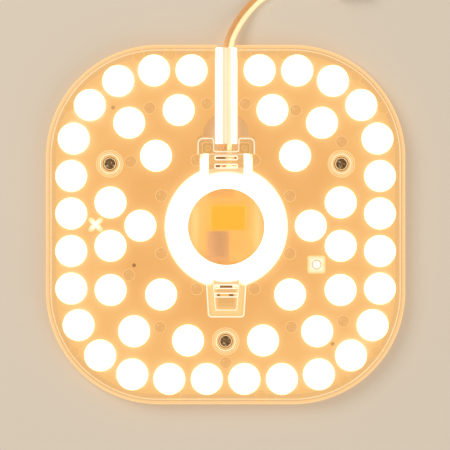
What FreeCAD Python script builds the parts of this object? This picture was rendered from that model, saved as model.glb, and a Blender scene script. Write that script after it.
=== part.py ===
"""Square LED module for a ceiling lamp: clear lens cover, LED board, driver, magnet feet and supply lead.

The module lies on its magnets, with its lenses up. Z is 0 at the magnets' faces, X and Y run along its sides,
the supply lead leaves towards +Y, and the origin is under the middle of the cover. Lengths are in millimetres.
"""

import FreeCAD
import Part

import math
import os
import re

import Sketcher
from FreeCAD import Placement, Rotation, Vector

doc = FreeCAD.newDocument("led_module")

# Driving sizes: alias, value, meaning

SIZES = [
    ("overall_width", 180.2, "width of the cover across its skirt"),
    ("corner_radius", 56.5, "corner radius of the cover's outline"),
    ("skirt_lean", 1.7, "how far the skirt leans in from foot to shoulder"),
    ("shoulder", 0.8, "bevel between skirt and plate"),
    ("skirt_wall", 1.4, "wall of the skirt"),
    ("skirt_foot", 3.2, "height of the skirt's lower edge"),
    ("magnet_height", 5.0, "height of a pot magnet"),
    ("board_thickness", 1.2, "thickness of the LED board"),
    ("plate_gap", 1.8, "room between LED board and lens plate"),
    ("plate_thickness", 1.2, "thickness of the lens plate"),
    ("board_margin", 5.1, "from the cover's outline to the LED board's edge"),
    ("fit_gap", 0.15, "play of pegs and posts in the LED board"),
    ("lens_diameter", 16.0, "foot of one lens"),
    ("lens_height", 2.6, "crown of one lens above the plate"),
    ("lens_root", 0.3, "depth of a lens inside the plate"),
    ("lens_path_inset", 12.9, "from the cover's outline to the rounded square that the outer lenses follow"),
    ("lens_path_radius", 44.7, "corner radius of that square"),
    ("lenses_per_side", 14, "outer lenses on each side of the lead"),
    ("lead_gap", 7.65, "what the lead takes from each side of that square"),
    ("lens_sides", 16, "sides that stand for a lens's round"),
    ("led_across", 2.8, "LED package across"),
    ("led_along", 3.5, "LED package along"),
    ("led_height", 0.55, "LED package height"),
    ("phosphor_height", 0.15, "phosphor above the package"),
    ("phosphor_margin", 0.35, "rim of the package round the phosphor"),
    ("recess_mouth", 6.0, "LED recess of a lens at the plate's back"),
    ("recess_top", 3.6, "LED recess of a lens at its top"),
    ("recess_depth", 2.2, "depth of that recess"),
    ("spine_x", 0.3, "middle line of lead tunnel, boxes and dome"),
    ("dome_y", -1.1, "middle of the dome"),
    ("dome_radius", 33.1, "radius of the dome's round side"),
    ("window_room", 2.15, "room between the transformer and the window"),
    ("dome_wall", 1.5, "wall of the dome"),
    ("window_radius", 19.5, "radius of the flat window on the dome"),
    ("window_rim", 0.5, "step of the window above the round side"),
    ("box_wall", 1.3, "wall of the boxes and the tunnel"),
    ("box_height", 7.0, "height of the vented boxes above the plate"),
    ("porch_height", 4.4, "height of the lead porch above the plate"),
    ("porch_width", 28.1, "width of the lead porch"),
    ("porch_top_y", 43.0, "far edge of the lead porch"),
    ("porch_bottom_y", 35.3, "where the porch meets the upper box"),
    ("porch_corner", 2.5, "corner radius of the porch"),
    ("pocket_side", 5.4, "side of a corner pocket in the porch"),
    ("pocket_depth", 1.4, "depth of a corner pocket"),
    ("pocket_inset", 2.2, "wall outside a corner pocket"),
    ("peg_radius", 1.25, "peg in a corner pocket"),
    ("notch_width", 12.5, "notch that the lead passes in the porch"),
    ("notch_inset", 1.4, "bridge between notch and tunnel side"),
    ("notch_relief", 0.6, "how far the notch runs into the upper box"),
    ("upper_base_width", 26.4, "upper box at the plate"),
    ("upper_roof_width", 20.1, "upper box at its roof"),
    ("upper_inner_y", 20.0, "end of the upper box inside the dome"),
    ("lower_base_width", 20.5, "lower box at the plate, beside the dome"),
    ("lower_end_width", 17.6, "lower box at the plate, far end"),
    ("lower_roof_width", 14.0, "lower box at its roof, beside the dome"),
    ("lower_roof_end_width", 10.2, "lower box at its roof, far end"),
    ("lower_inner_y", -22.0, "end of the lower box inside the dome"),
    ("lower_end_y", -46.1, "far end of the lower box at the plate"),
    ("lower_roof_end_y", -42.5, "far end of the lower box at its roof"),
    ("vent_length", 11.2, "length of a vent slot"),
    ("vent_width", 1.8, "width of a vent slot"),
    ("upper_vent_y", 31.15, "middle of the two vents of the upper box"),
    ("upper_vent_pitch", 4.1, "step between them"),
    ("lower_vent_y", -33.0, "middle of the two vents of the lower box"),
    ("lower_vent_pitch", 4.2, "step between them"),
    ("tunnel_base_width", 11.2, "lead tunnel at the plate"),
    ("tunnel_roof_width", 7.8, "lead tunnel at its roof"),
    ("tunnel_height", 2.8, "height of the tunnel above the plate"),
    ("mouth_floor", 6.6, "height of the notch floor in the skirt"),
    ("opening_radius", 11.5, "round head of the LED board's opening"),
    ("opening_y", 45.0, "centre of that round head"),
    ("opening_width", 29.5, "wide part of the opening"),
    ("opening_wide_top", 44.6, "upper edge of the wide part"),
    ("opening_wide_bottom", 35.4, "lower edge of the wide part"),
    ("opening_corner", 2.5, "corner radius of the wide part"),
    ("screw_side_x", 57.9, "upper screws, across"),
    ("screw_side_y", 30.4, "upper screws, along"),
    ("screw_low_y", -58.3, "lower screw, along"),
    ("well_radius", 5.0, "outside of a screw well"),
    ("well_bore", 3.7, "inside of a screw well"),
    ("well_floor", 1.2, "floor of a screw well"),
    ("collar_radius", 6.8, "collar round a screw well"),
    ("collar_height", 0.7, "height of that collar"),
    ("screw_radius", 1.5, "shank of a magnet screw"),
    ("screw_hole_gap", 0.2, "play round the shank"),
    ("head_radius", 2.75, "head of a magnet screw"),
    ("head_height", 1.9, "height of the head"),
    ("head_bevel", 0.5, "bevel of the head"),
    ("slot_width", 0.7, "slot and cross of the head"),
    ("slot_depth", 0.9, "depth of the slot"),
    ("cross_length", 3.3, "short arm of the cross"),
    ("screw_reach", 3.6, "length of thread inside the magnet"),
    ("magnet_radius", 7.5, "outside of a pot magnet"),
    ("cup_wall", 1.0, "wall of the steel cup"),
    ("cup_floor", 1.3, "floor of the steel cup"),
    ("disc_gap", 0.1, "glue gap round the ring magnet"),
    ("post_right_x", 45.5, "right snap post, across"),
    ("post_right_y", -20.0, "right snap post, along"),
    ("post_left_x", -65.0, "left snap post, across"),
    ("post_left_y", 0.0, "left snap post, along"),
    ("post_base_across", 8.5, "base of a snap post, across"),
    ("post_base_along", 9.6, "base of a snap post, along"),
    ("post_radius", 2.6, "shank of a snap post"),
    ("post_barb", 0.55, "how far its barb stands out"),
    ("post_lead_in", 0.4, "how far the barb's tip is drawn in"),
    ("post_tip", 3.3, "height of its tip"),
    ("post_split", 1.2, "slot that lets the barb spring"),
    ("pin_hole_radius", 1.1, "small holes of the LED board"),
    ("pad_radius", 2.9, "support pad under the plate"),
    ("pad_ring_gap", 4.1, "from the dome's foot to the ring of pads round it"),
    ("pad_ring_swing", 24.2, "angle of a pad of that ring from its axis"),
    ("tray_wall", 0.9, "wall and floor of the driver tray"),
    ("tray_rim", 2.5, "height of the tray's rim above its floor"),
    ("tray_room", 2.45, "room between the tray's corners and the dome"),
    ("tray_post", 2.0, "side of a post under the driver board"),
    ("tray_post_inset", 1.5, "from the board's edges to a post's middle"),
    ("driver_lift", 1.4, "room under the driver board"),
    ("driver_gap", 0.3, "play of the driver board in its tray"),
    ("driver_thickness", 1.2, "thickness of the driver board"),
    ("driver_width", 22.7, "driver board under the dome"),
    ("driver_upper_width", 18.0, "driver board in the upper box"),
    ("driver_lower_width", 9.6, "driver board in the lower box"),
    ("driver_top_y", 33.2, "upper end of the driver board"),
    ("driver_bottom_y", -40.6, "lower end of the driver board"),
    ("solder_gap", 0.1, "solder under a part"),
    ("core_across", 16.0, "transformer core, across"),
    ("core_along", 11.4, "transformer core, along"),
    ("core_height", 8.6, "transformer core, height"),
    ("core_limb", 3.0, "limb of the core"),
    ("core_x", 1.2, "transformer, across"),
    ("core_y", 3.1, "transformer, along"),
    ("bobbin_foot", 1.6, "height of the bobbin's foot"),
    ("bobbin_gap", 0.2, "play between bobbin and core"),
    ("tape_thickness", 0.5, "tape round core and winding"),
    ("input_can_radius", 5.0, "input capacitor, radius"),
    ("input_can_length", 12.0, "input capacitor, length"),
    ("input_can_x", -3.4, "input capacitor, across"),
    ("input_can_y", -9.2, "input capacitor, along"),
    ("output_can_radius", 4.0, "output capacitor, radius"),
    ("output_can_length", 11.5, "output capacitor, length"),
    ("output_can_x", -2.0, "output capacitor, across"),
    ("output_can_y", 15.6, "output capacitor, along"),
    ("choke_radius", 4.0, "choke flange, radius"),
    ("choke_core_radius", 2.6, "choke core, radius"),
    ("choke_height", 8.5, "choke, height"),
    ("choke_flange", 1.1, "choke flange, thickness"),
    ("choke_x", 7.0, "choke, across"),
    ("choke_y", -8.6, "choke, along"),
    ("fuse_radius", 1.7, "fuse resistor, radius"),
    ("fuse_length", 7.5, "fuse resistor, length"),
    ("fuse_y", -37.4, "fuse resistor, along"),
    ("film_across", 10.5, "film capacitor, across"),
    ("film_along", 4.2, "film capacitor, along"),
    ("film_height", 7.5, "film capacitor, height"),
    ("film_x", 0.5, "film capacitor, across from the board's middle"),
    ("film_y", -19.0, "film capacitor, along"),
    ("bridge_across", 6.4, "bridge rectifier, across"),
    ("bridge_along", 4.8, "bridge rectifier, along"),
    ("bridge_height", 2.5, "bridge rectifier, height"),
    ("bridge_x", 0.0, "bridge rectifier, across from the board's middle"),
    ("bridge_y", -30.0, "bridge rectifier, along"),
    ("chip_across", 4.9, "driver chip, across"),
    ("chip_along", 3.9, "driver chip, along"),
    ("chip_height", 1.6, "driver chip, height"),
    ("chip_x", -6.2, "driver chip, across from the board's middle"),
    ("chip_y", 28.0, "driver chip, along"),
    ("diode_across", 4.4, "output diode, across"),
    ("diode_along", 2.6, "output diode, along"),
    ("diode_height", 2.1, "output diode, height"),
    ("diode_x", 7.6, "output diode, across from the board's middle"),
    ("diode_y", 17.4, "output diode, along"),
    ("resistor_across", 3.2, "chip resistor, across"),
    ("resistor_along", 1.6, "chip resistor, along"),
    ("resistor_height", 0.6, "chip resistor, height"),
    ("resistor_x", 6.9, "row of chip resistors, across from the board's middle"),
    ("resistor_y", 22.6, "first chip resistor, along"),
    ("resistor_pitch", 2.3, "step between chip resistors"),
    ("wire_diameter", 2.4, "one supply wire over its insulation"),
    ("wire_spacing", 2.55, "between the middles of the two wires"),
    ("connector_length", 15.0, "connector along the wires"),
    ("connector_width", 12.5, "connector across the wires"),
    ("connector_height", 7.4, "connector height"),
    ("connector_pitch", 4.6, "between the two poles"),
    ("connector_entry", 3.2, "side of a wire entry"),
    ("connector_depth", 9.0, "depth of a wire entry"),
    ("wire_reach", 4.0, "how far a wire runs into the connector"),
    ("clamp_length", 3.6, "brass clamp along the wire"),
    ("clamp_setback", 2.0, "from the end of an entry to the clamp's middle"),
    ("clamp_gap", 0.1, "play of a clamp in its entry"),
    ("clamp_wall", 0.4, "wall of a brass clamp"),
    ("driver_hole_radius", 1.7, "screwdriver hole over a clamp"),
    ("clamp_screw_radius", 1.5, "clamp screw, radius"),
    ("clamp_screw_height", 2.0, "clamp screw, height"),
    ("root", 0.5, "how far a piece of a moulding runs into the next"),
    ("past", 1.0, "how far a cutting shape runs past what it cuts"),
]

sheet = doc.addObject("Spreadsheet::Sheet", "Sizes")
for row, (alias, number, meaning) in enumerate(SIZES, start=1):
    sheet.set(f"A{row}", meaning)
    sheet.set(f"B{row}", str(number))
    sheet.setAlias(f"B{row}", alias)
doc.recompute()

ALIASES = {alias for alias, _, _ in SIZES}
WORD = re.compile(r"[a-z][a-z_0-9]*")


def bound(text):
    """The expression with each size's name pointed at the sheet."""
    return WORD.sub(lambda m: f"Sizes.{m[0]}" if m[0] in ALIASES else m[0], str(text))


def mm(text):
    """The number that an expression of sizes has now."""
    return float(sheet.evalExpression(bound(text)))


# Heights that several pieces share

BOARD_BACK = "magnet_height"
BOARD_FACE = "(magnet_height + board_thickness)"
PLATE_BACK = "(magnet_height + board_thickness + plate_gap)"
PLATE_FACE = "(magnet_height + board_thickness + plate_gap + plate_thickness)"
DRIVER_BACK = f"({BOARD_FACE} + tray_wall + driver_lift)"
DRIVER_FACE = f"({DRIVER_BACK} + driver_thickness)"
ON_BOARD = f"({DRIVER_FACE} + solder_gap)"
BOX_ROOF = f"({PLATE_FACE} + box_height)"

# The dome: its side is part of a sphere, and its window clears the transformer

DOME_SHOULDER = f"({ON_BOARD} + bobbin_foot + core_height + tape_thickness + window_room + dome_wall - window_rim)"
DOME_CENTRE = f"({DOME_SHOULDER} - sqrt(dome_radius * dome_radius - window_radius * window_radius))"
DOME_FOOT = f"(sqrt(dome_radius * dome_radius - ({PLATE_BACK} - {DOME_CENTRE}) * ({PLATE_BACK} - {DOME_CENTRE})))"

HALF = "(overall_width / 2)"


# Helpers: each makes one document object whose sizes are bound to the sheet


def hold(thing, **expressions):
    """Binds properties to sizes; x, y and z stand for the three numbers of its place."""
    for name, text in expressions.items():
        target = f"Placement.Base.{name}" if name in "xyz" else name
        thing.setExpression(target, bound(text))
    return thing


def block(name, across, along, height, x, y, z):
    """A box by its size, the middle of its plan and its foot."""
    made = doc.addObject("Part::Box", name)
    return hold(
        made,
        Length=across,
        Width=along,
        Height=height,
        x=f"({x}) - ({across}) / 2",
        y=f"({y}) - ({along}) / 2",
        z=z,
    )


def rod(name, radius, height, x, y, z):
    """An upright cylinder by its axis and its foot."""
    made = doc.addObject("Part::Cylinder", name)
    return hold(made, Radius=radius, Height=height, x=x, y=y, z=z)


def cone(name, foot_radius, top_radius, height, x, y, z):
    """An upright cone by its axis and its foot."""
    made = doc.addObject("Part::Cone", name)
    return hold(made, Radius1=foot_radius, Radius2=top_radius, Height=height, x=x, y=y, z=z)


def joined(name, *pieces):
    """All the pieces as one solid."""
    made = doc.addObject("Part::MultiFuse", name)
    made.Shapes = list(pieces)
    return made


def without(name, piece, tool):
    """The piece less the tool."""
    made = doc.addObject("Part::Cut", name)
    made.Base = piece
    made.Tool = tool
    return made


def group(name, *pieces):
    """Separate solids side by side in one node."""
    made = doc.addObject("Part::Compound", name)
    made.Links = list(pieces)
    return made


def new_body(name):
    return doc.addObject("PartDesign::Body", name)


def new_sketch(body, name, role, height="0"):
    """A sketch on one of the body's own origin planes, raised to a height."""
    made = body.newObject("Sketcher::SketchObject", name)
    plane = next(f for f in body.Origin.OriginFeatures if f.Role == role)
    made.AttachmentSupport = [(plane, "")]
    made.MapMode = "FlatFace"
    made.setExpression("AttachmentOffset.Base.z", bound(height))
    return made


def pin(drawing, kind, *where_and_text):
    """One distance or radius of a sketch, bound to the sheet."""
    *where, text = where_and_text
    index = drawing.addConstraint(Sketcher.Constraint(kind, *where, mm(text)))
    drawing.setExpression(f"Constraints[{index}]", bound(text))


def outline(drawing, corners):
    """A closed outline of straight lines through corners given as pairs of expressions."""
    points = [Vector(mm(x), mm(y), 0) for x, y in corners]
    count = len(points)
    first = drawing.GeometryCount
    for index, point in enumerate(points):
        drawing.addGeometry(Part.LineSegment(point, points[(index + 1) % count]))
    for index, (x, y) in enumerate(corners):
        line = first + index
        after = first + (index + 1) % count
        drawing.addConstraint(Sketcher.Constraint("Coincident", line, 2, after, 1))
        pin(drawing, "DistanceX", -1, 1, line, 1, x)
        pin(drawing, "DistanceY", -1, 1, line, 1, y)


def circle(drawing, radius, x, y):
    """A circle by its radius and its centre."""
    line = drawing.addGeometry(
        Part.Circle(Vector(mm(x), mm(y), 0), Vector(0, 0, 1), mm(radius))
    )
    pin(drawing, "Radius", line, radius)
    pin(drawing, "DistanceX", -1, 1, line, 3, x)
    pin(drawing, "DistanceY", -1, 1, line, 3, y)


def rectangle(drawing, across, along, x, y):
    """A rectangle by its size and the middle of its plan."""
    left, right = f"({x}) - ({across}) / 2", f"({x}) + ({across}) / 2"
    low, high = f"({y}) - ({along}) / 2", f"({y}) + ({along}) / 2"
    outline(drawing, [(left, low), (right, low), (right, high), (left, high)])


def rounded_square(drawing, half, radius):
    """A square about the origin with round corners: four lines and four tangent arcs."""
    side, turn = mm(half), mm(radius)
    run = side - turn
    first = drawing.GeometryCount
    for quarter in range(4):
        swing = Rotation(Vector(0, 0, 1), 90 * quarter)
        start = swing.multVec(Vector(-run, -side, 0))
        end = swing.multVec(Vector(run, -side, 0))
        centre = swing.multVec(Vector(run, -run, 0))
        drawing.addGeometry(Part.LineSegment(start, end))
        arc = Part.Circle(centre, Vector(0, 0, 1), turn)
        begin = math.radians(90 * quarter - 90)
        drawing.addGeometry(Part.ArcOfCircle(arc, begin, begin + math.pi / 2))
    for quarter in range(4):
        line, arc = first + 2 * quarter, first + 2 * quarter + 1
        after = first + (2 * quarter + 2) % 8
        drawing.addConstraint(Sketcher.Constraint("Tangent", line, 2, arc, 1))
        drawing.addConstraint(Sketcher.Constraint("Tangent", arc, 2, after, 1))
        pin(drawing, "Radius", arc, radius)
    for axis, low_line, high_line in (("DistanceY", 0, 4), ("DistanceX", 6, 2)):
        pin(drawing, axis, -1, 1, first + low_line, 1, f"-({half})")
        pin(drawing, axis, -1, 1, first + high_line, 1, half)
    for line, kind in ((0, "Horizontal"), (2, "Vertical"), (4, "Horizontal")):
        drawing.addConstraint(Sketcher.Constraint(kind, first + line))


def pad(body, drawing, length):
    """The sketch raised by a length."""
    made = body.newObject("PartDesign::Pad", f"{drawing.Name}_pad")
    made.Profile = drawing
    made.setExpression("Length", bound(length))
    return made


def pocket(body, drawing, length):
    """The sketch cut upwards through a length."""
    made = body.newObject("PartDesign::Pocket", f"{drawing.Name}_pocket")
    made.Profile = drawing
    made.Reversed = True
    made.setExpression("Length", bound(length))
    return made


def loft(name, draw, *sections):
    """A body lofted through sections, each a height and what draw needs for its outline."""
    body = new_body(name)
    drawings = []
    for index, (height, *values) in enumerate(sections):
        drawing = new_sketch(body, f"{name}_section_{index}", "XY_Plane", height)
        draw(drawing, *values)
        drawings.append(drawing)
    made = body.newObject("PartDesign::AdditiveLoft", f"{name}_loft")
    made.Profile = drawings[0]
    made.Sections = drawings[1:]
    made.Ruled = True
    return body


def turned(name, profile, x="0", y="0"):
    """A body turned about an upright axis from a profile of radius and height pairs."""
    body = new_body(name)
    drawing = new_sketch(body, f"{name}_profile", "XZ_Plane")
    outline(drawing, profile)
    made = body.newObject("PartDesign::Revolution", f"{name}_turn")
    made.Profile = drawing
    made.ReferenceAxis = (drawing, ["V_Axis"])
    made.Angle = 360
    return hold(body, x=x, y=y)


def upright_edges(feature, chosen):
    """Names of the feature's upright edges whose middle passes a test."""
    names = []
    for index, edge in enumerate(feature.Shape.Edges, start=1):
        first, last = edge.Vertexes[0].Point, edge.Vertexes[-1].Point
        upright = math.hypot(first.x - last.x, first.y - last.y) < 1e-6
        if upright and abs(first.z - last.z) > 1e-6 and chosen(first):
            names.append(f"Edge{index}")
    return names


def soften(body, radius, chosen=lambda point: True):
    """Rounds the upright edges of the body so far."""
    doc.recompute()
    base = body.Tip
    made = body.newObject("PartDesign::Fillet", f"{base.Name}_soft")
    made.Base = (base, upright_edges(base, chosen))
    made.setExpression("Radius", bound(radius))
    return made


def shape_feature(name, shape):
    """A piece whose shape is worked out in code from the sheet's sizes."""
    made = doc.addObject("Part::Feature", name)
    made.Shape = shape
    return made


# Places that repeat


def outer_places():
    """Middles of the outer lenses, by their way along a rounded square from its low middle, each with its mirror."""
    half, turn = mm(f"{HALF} - lens_path_inset"), mm("lens_path_radius")
    run, bend = half - turn, turn * math.pi / 2
    count = int(mm("lenses_per_side"))
    pitch = (4 * run + 2 * bend - mm("lead_gap")) / count
    places = []
    for step in range(count):
        way = pitch * (step + 0.5)
        if way <= run:
            x, y = way, -half
        elif way <= run + bend:
            swing = (way - run) / turn
            x, y = run + turn * math.sin(swing), -run - turn * math.cos(swing)
        elif way <= 3 * run + bend:
            x, y = half, way - 2 * run - bend
        elif way <= 3 * run + 2 * bend:
            swing = (way - 3 * run - bend) / turn
            x, y = run + turn * math.cos(swing), run + turn * math.sin(swing)
        else:
            x, y = 4 * run + 2 * bend - way, half
        places += [(x, y), (-x, y)]
    return places


# Middles of the inner lenses on the right, as shares of the cover's half width; each has a mirror on the left.
INNER_RIGHT = [
    (0.260, 0.636),
    (0.535, 0.565),
    (0.386, 0.382),
    (0.639, 0.123),
    (0.473, -0.006),
    (0.639, -0.118),
    (0.638, -0.363),
    (0.358, -0.388),
    (0.508, -0.592),
    (0.208, -0.643),
]

# Support pads away from the ring round the dome, and small holes of the board, in the same shares
FREE_PADS = [
    (-0.422, 0.648),
    (0.391, 0.636),
    (-0.528, 0.350),
    (0.645, 0.459),
    (0.110, 0.671),
    (-0.103, 0.671),
    (-0.538, -0.279),
    (0.365, -0.569),
    (-0.365, -0.569),
    (0.654, -0.537),
    (0.0, -0.766),
]
SMALL_HOLES = [(-0.509, -0.226), (-0.625, 0.651), (0.595, -0.663)]


def on_cover(shares):
    """Places from shares of the cover's half width."""
    return [(x * mm(HALF), y * mm(HALF)) for x, y in shares]


OUTER = outer_places()
INNER = on_cover([(side * x, y) for x, y in INNER_RIGHT for side in (1, -1)])

SCREWS = [("-screw_side_x", "screw_side_y"), ("screw_side_x", "screw_side_y"), ("0", "screw_low_y")]
POSTS = [("post_right_x", "post_right_y"), ("post_left_x", "post_left_y")]


# Lens cover: the outside


def cover_outside():
    half_shoulder = f"({HALF} - skirt_lean)"
    rim = loft(
        "cover_rim",
        rounded_square,
        ("skirt_foot", HALF, "corner_radius"),
        (f"{PLATE_FACE} - shoulder", half_shoulder, "corner_radius - skirt_lean"),
        (PLATE_FACE, f"{half_shoulder} - shoulder", "corner_radius - skirt_lean - shoulder"),
    )
    dome = doc.addObject("Part::Sphere", "dome_side")
    hold(
        dome,
        Radius="dome_radius",
        Angle1=f"asin(({PLATE_BACK} - {DOME_CENTRE}) / dome_radius)",
        Angle2="acos(window_radius / dome_radius)",
        x="spine_x",
        y="dome_y",
        z=DOME_CENTRE,
    )
    window = cone(
        "dome_window",
        "window_radius - dome_wall / 2",
        "window_radius - dome_wall / 2 - window_rim / 2",
        "window_rim + dome_wall / 2",
        "spine_x",
        "dome_y",
        f"{DOME_SHOULDER} - dome_wall / 2",
    )
    porch = new_body("porch")
    plan = new_sketch(porch, "porch_plan", "XY_Plane", PLATE_BACK)
    rectangle(plan, "porch_width", PORCH_LENGTH, "spine_x", PORCH_MIDDLE)
    pad(porch, plan, "plate_thickness + porch_height")
    soften(porch, "porch_corner", lambda point: point.y > mm(PORCH_MIDDLE))
    return [
        rim,
        dome,
        window,
        porch,
        upper_box("upper_box", "0"),
        lower_box("lower_box", "0"),
        tunnel("tunnel", "0"),
    ]


PORCH_LENGTH = "(porch_top_y - porch_bottom_y + 2 * box_wall)"
PORCH_MIDDLE = "((porch_top_y + porch_bottom_y) / 2 - box_wall)"


def spread(draft, height):
    """How far a leaning wall has moved out at the plate's back, by its lean over a height."""
    return f"({draft}) * plate_thickness / ({height})"


def box_plan(drawing, low_half, high_half, low_y, high_y):
    """A four-sided plan about the spine, with its own width at each end."""
    outline(
        drawing,
        [
            (f"spine_x - ({low_half})", low_y),
            (f"spine_x + ({low_half})", low_y),
            (f"spine_x + ({high_half})", high_y),
            (f"spine_x - ({high_half})", high_y),
        ],
    )


def upper_box(name, inset):
    """The vented box above the dome, drawn in by a wall where it is the inside."""
    base, roof = f"(upper_base_width / 2 - {inset})", f"(upper_roof_width / 2 - {inset})"
    end = f"(porch_bottom_y - {inset})"
    foot = PLATE_BACK if inset == "0" else BOARD_FACE
    lean = "((upper_base_width - upper_roof_width) / 2)"
    out = spread(lean, "box_height") if inset == "0" else "0"
    return loft(
        name,
        box_plan,
        (foot, f"{base} + {out}", f"{base} + {out}", "upper_inner_y", end),
        (f"{BOX_ROOF} - {inset}", roof, roof, "upper_inner_y", end),
    )


def lower_box(name, inset):
    """The vented box below the dome, narrower at its far end."""
    foot = PLATE_BACK if inset == "0" else BOARD_FACE
    return loft(
        name,
        box_plan,
        (
            foot,
            f"lower_end_width / 2 - {inset}",
            f"lower_base_width / 2 - {inset}",
            f"lower_end_y + {inset}",
            "lower_inner_y",
        ),
        (
            f"{BOX_ROOF} - {inset}",
            f"lower_roof_end_width / 2 - {inset}",
            f"lower_roof_width / 2 - {inset}",
            f"lower_roof_end_y + {inset}",
            "lower_inner_y",
        ),
    )


def tunnel(name, inset):
    """The lead tunnel from the porch to the skirt, open below; its inside runs out through the skirt."""
    foot = PLATE_BACK if inset == "0" else "mouth_floor"
    far = f"{HALF} - skirt_lean" if inset == "0" else f"{HALF} + past"
    near = "porch_top_y - 2 * box_wall"
    base, roof = f"(tunnel_base_width / 2 - {inset})", f"(tunnel_roof_width / 2 - {inset})"
    return loft(
        name,
        box_plan,
        (foot, base, base, near, far),
        (f"{PLATE_FACE} + tunnel_height - {inset}", roof, roof, near, far),
    )


# Lens cover: lenses


def polygon_ring(radius, height):
    """Corners of a lens's outline at a height."""
    count = int(mm("lens_sides"))
    turns = [2 * math.pi * (step + 0.5) / count for step in range(count)]
    return [Vector(radius * math.cos(a), radius * math.sin(a), height) for a in turns]


def face_of(corners):
    """A flat face through corners."""
    return Part.Face(Part.makePolygon([*corners, corners[0]]))


# How far down from its middle a lens is cut into rings, as shares of the angle to its foot
LENS_RINGS = [1.0, 0.6, 0.25]


def lens_crown():
    """A domed lens: rings of flat facets whose corners lie on its sphere, on a short root in the plate."""
    foot, crown = mm("lens_diameter") / 2, mm("lens_height")
    radius = (foot**2 + crown**2) / (2 * crown)
    centre = mm(PLATE_FACE) + crown - radius
    edge = math.asin(foot / radius)
    rings = [polygon_ring(foot, mm(f"{PLATE_FACE} - lens_root"))]
    for share in LENS_RINGS:
        angle = edge * share
        rings.append(polygon_ring(radius * math.sin(angle), centre + radius * math.cos(angle)))
    faces = [face_of(rings[0][::-1]), face_of(rings[-1])]
    for low, high in zip(rings, rings[1:]):
        for n in range(len(low)):
            faces.append(face_of([low[n - 1], low[n], high[n], high[n - 1]]))
    return Part.makeSolid(Part.makeShell(faces))


def led_recess():
    """The hollow over one LED, a blunt pyramid at the plate's back."""
    mouth, top = mm("recess_mouth") / 2, mm("recess_top") / 2
    recess = Part.makeWedge(
        -mouth, 0, -mouth, -top, -top, mouth, mm("recess_depth"), mouth, top, top
    )
    recess.rotate(Vector(0, 0, 0), Vector(1, 0, 0), 90)
    recess.translate(Vector(0, 0, mm(PLATE_BACK)))
    return recess


def copies(shape, places):
    """The shape moved to each place of its plan, as one compound."""
    made = []
    for x, y in places:
        copy = shape.copy()
        copy.translate(Vector(x, y, 0))
        made.append(copy)
    return Part.makeCompound(made)


# Lens cover: the inside and the whole


def cover_inside():
    """Everything that is hollow in the cover."""
    half = f"({HALF} - skirt_wall)"
    room = loft(
        "cover_room",
        rounded_square,
        ("skirt_foot - past", half, "corner_radius - skirt_wall"),
        (PLATE_BACK, f"{half} - skirt_lean", "corner_radius - skirt_wall - skirt_lean"),
    )
    dome = doc.addObject("Part::Sphere", "dome_room")
    inner = "(dome_radius - dome_wall)"
    hold(
        dome,
        Radius=inner,
        Angle1=f"asin(({BOARD_FACE} - {DOME_CENTRE}) / {inner})",
        Angle2=f"asin(({DOME_SHOULDER} + window_rim - dome_wall - {DOME_CENTRE}) / {inner})",
        x="spine_x",
        y="dome_y",
        z=DOME_CENTRE,
    )
    porch = block(
        "porch_room",
        "porch_width - 2 * box_wall",
        f"{PORCH_LENGTH} - box_wall",
        "plate_gap + plate_thickness + porch_height - box_wall",
        "spine_x",
        f"{PORCH_MIDDLE} - box_wall / 2",
        BOARD_FACE,
    )
    notch = block(
        "lead_notch",
        "notch_width",
        "porch_top_y - porch_bottom_y - notch_inset + notch_relief",
        "box_height",
        "spine_x",
        "(porch_top_y + porch_bottom_y - notch_inset - notch_relief) / 2",
        f"{PLATE_FACE} + porch_height - box_wall - past",
    )
    vents = [
        block(
            f"vent_{box}_{row}",
            "vent_length",
            "vent_width",
            "box_wall * 3",
            "spine_x",
            f"{box}_vent_y + {side} * {box}_vent_pitch / 2",
            f"{BOX_ROOF} - box_wall * 2",
        )
        for box in ("upper", "lower")
        for row, side in (("near", -1), ("far", 1))
    ]
    return [
        room,
        dome,
        porch,
        notch,
        upper_box("upper_room", "box_wall"),
        lower_box("lower_room", "box_wall"),
        tunnel("tunnel_room", "box_wall"),
        *vents,
    ]


def pad_places():
    """Round pads: eight on a ring round the dome, two to each diagonal, and the free ones."""
    ring, swing = mm(f"{DOME_FOOT} + pad_ring_gap"), mm("pad_ring_swing")
    angles = [base + side * swing for base in (0, 90, 180, 270) for side in (1, -1)]
    around = [
        (ring * math.cos(math.radians(a)), ring * math.sin(math.radians(a))) for a in angles
    ]
    return around + on_cover(FREE_PADS)


def pocket_x(side):
    """Middle of a corner pocket of the porch, across."""
    return f"spine_x + {side} * (porch_width / 2 - pocket_inset - pocket_side / 2)"


POCKET_Y = "(porch_top_y - pocket_inset - pocket_side / 2)"


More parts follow.
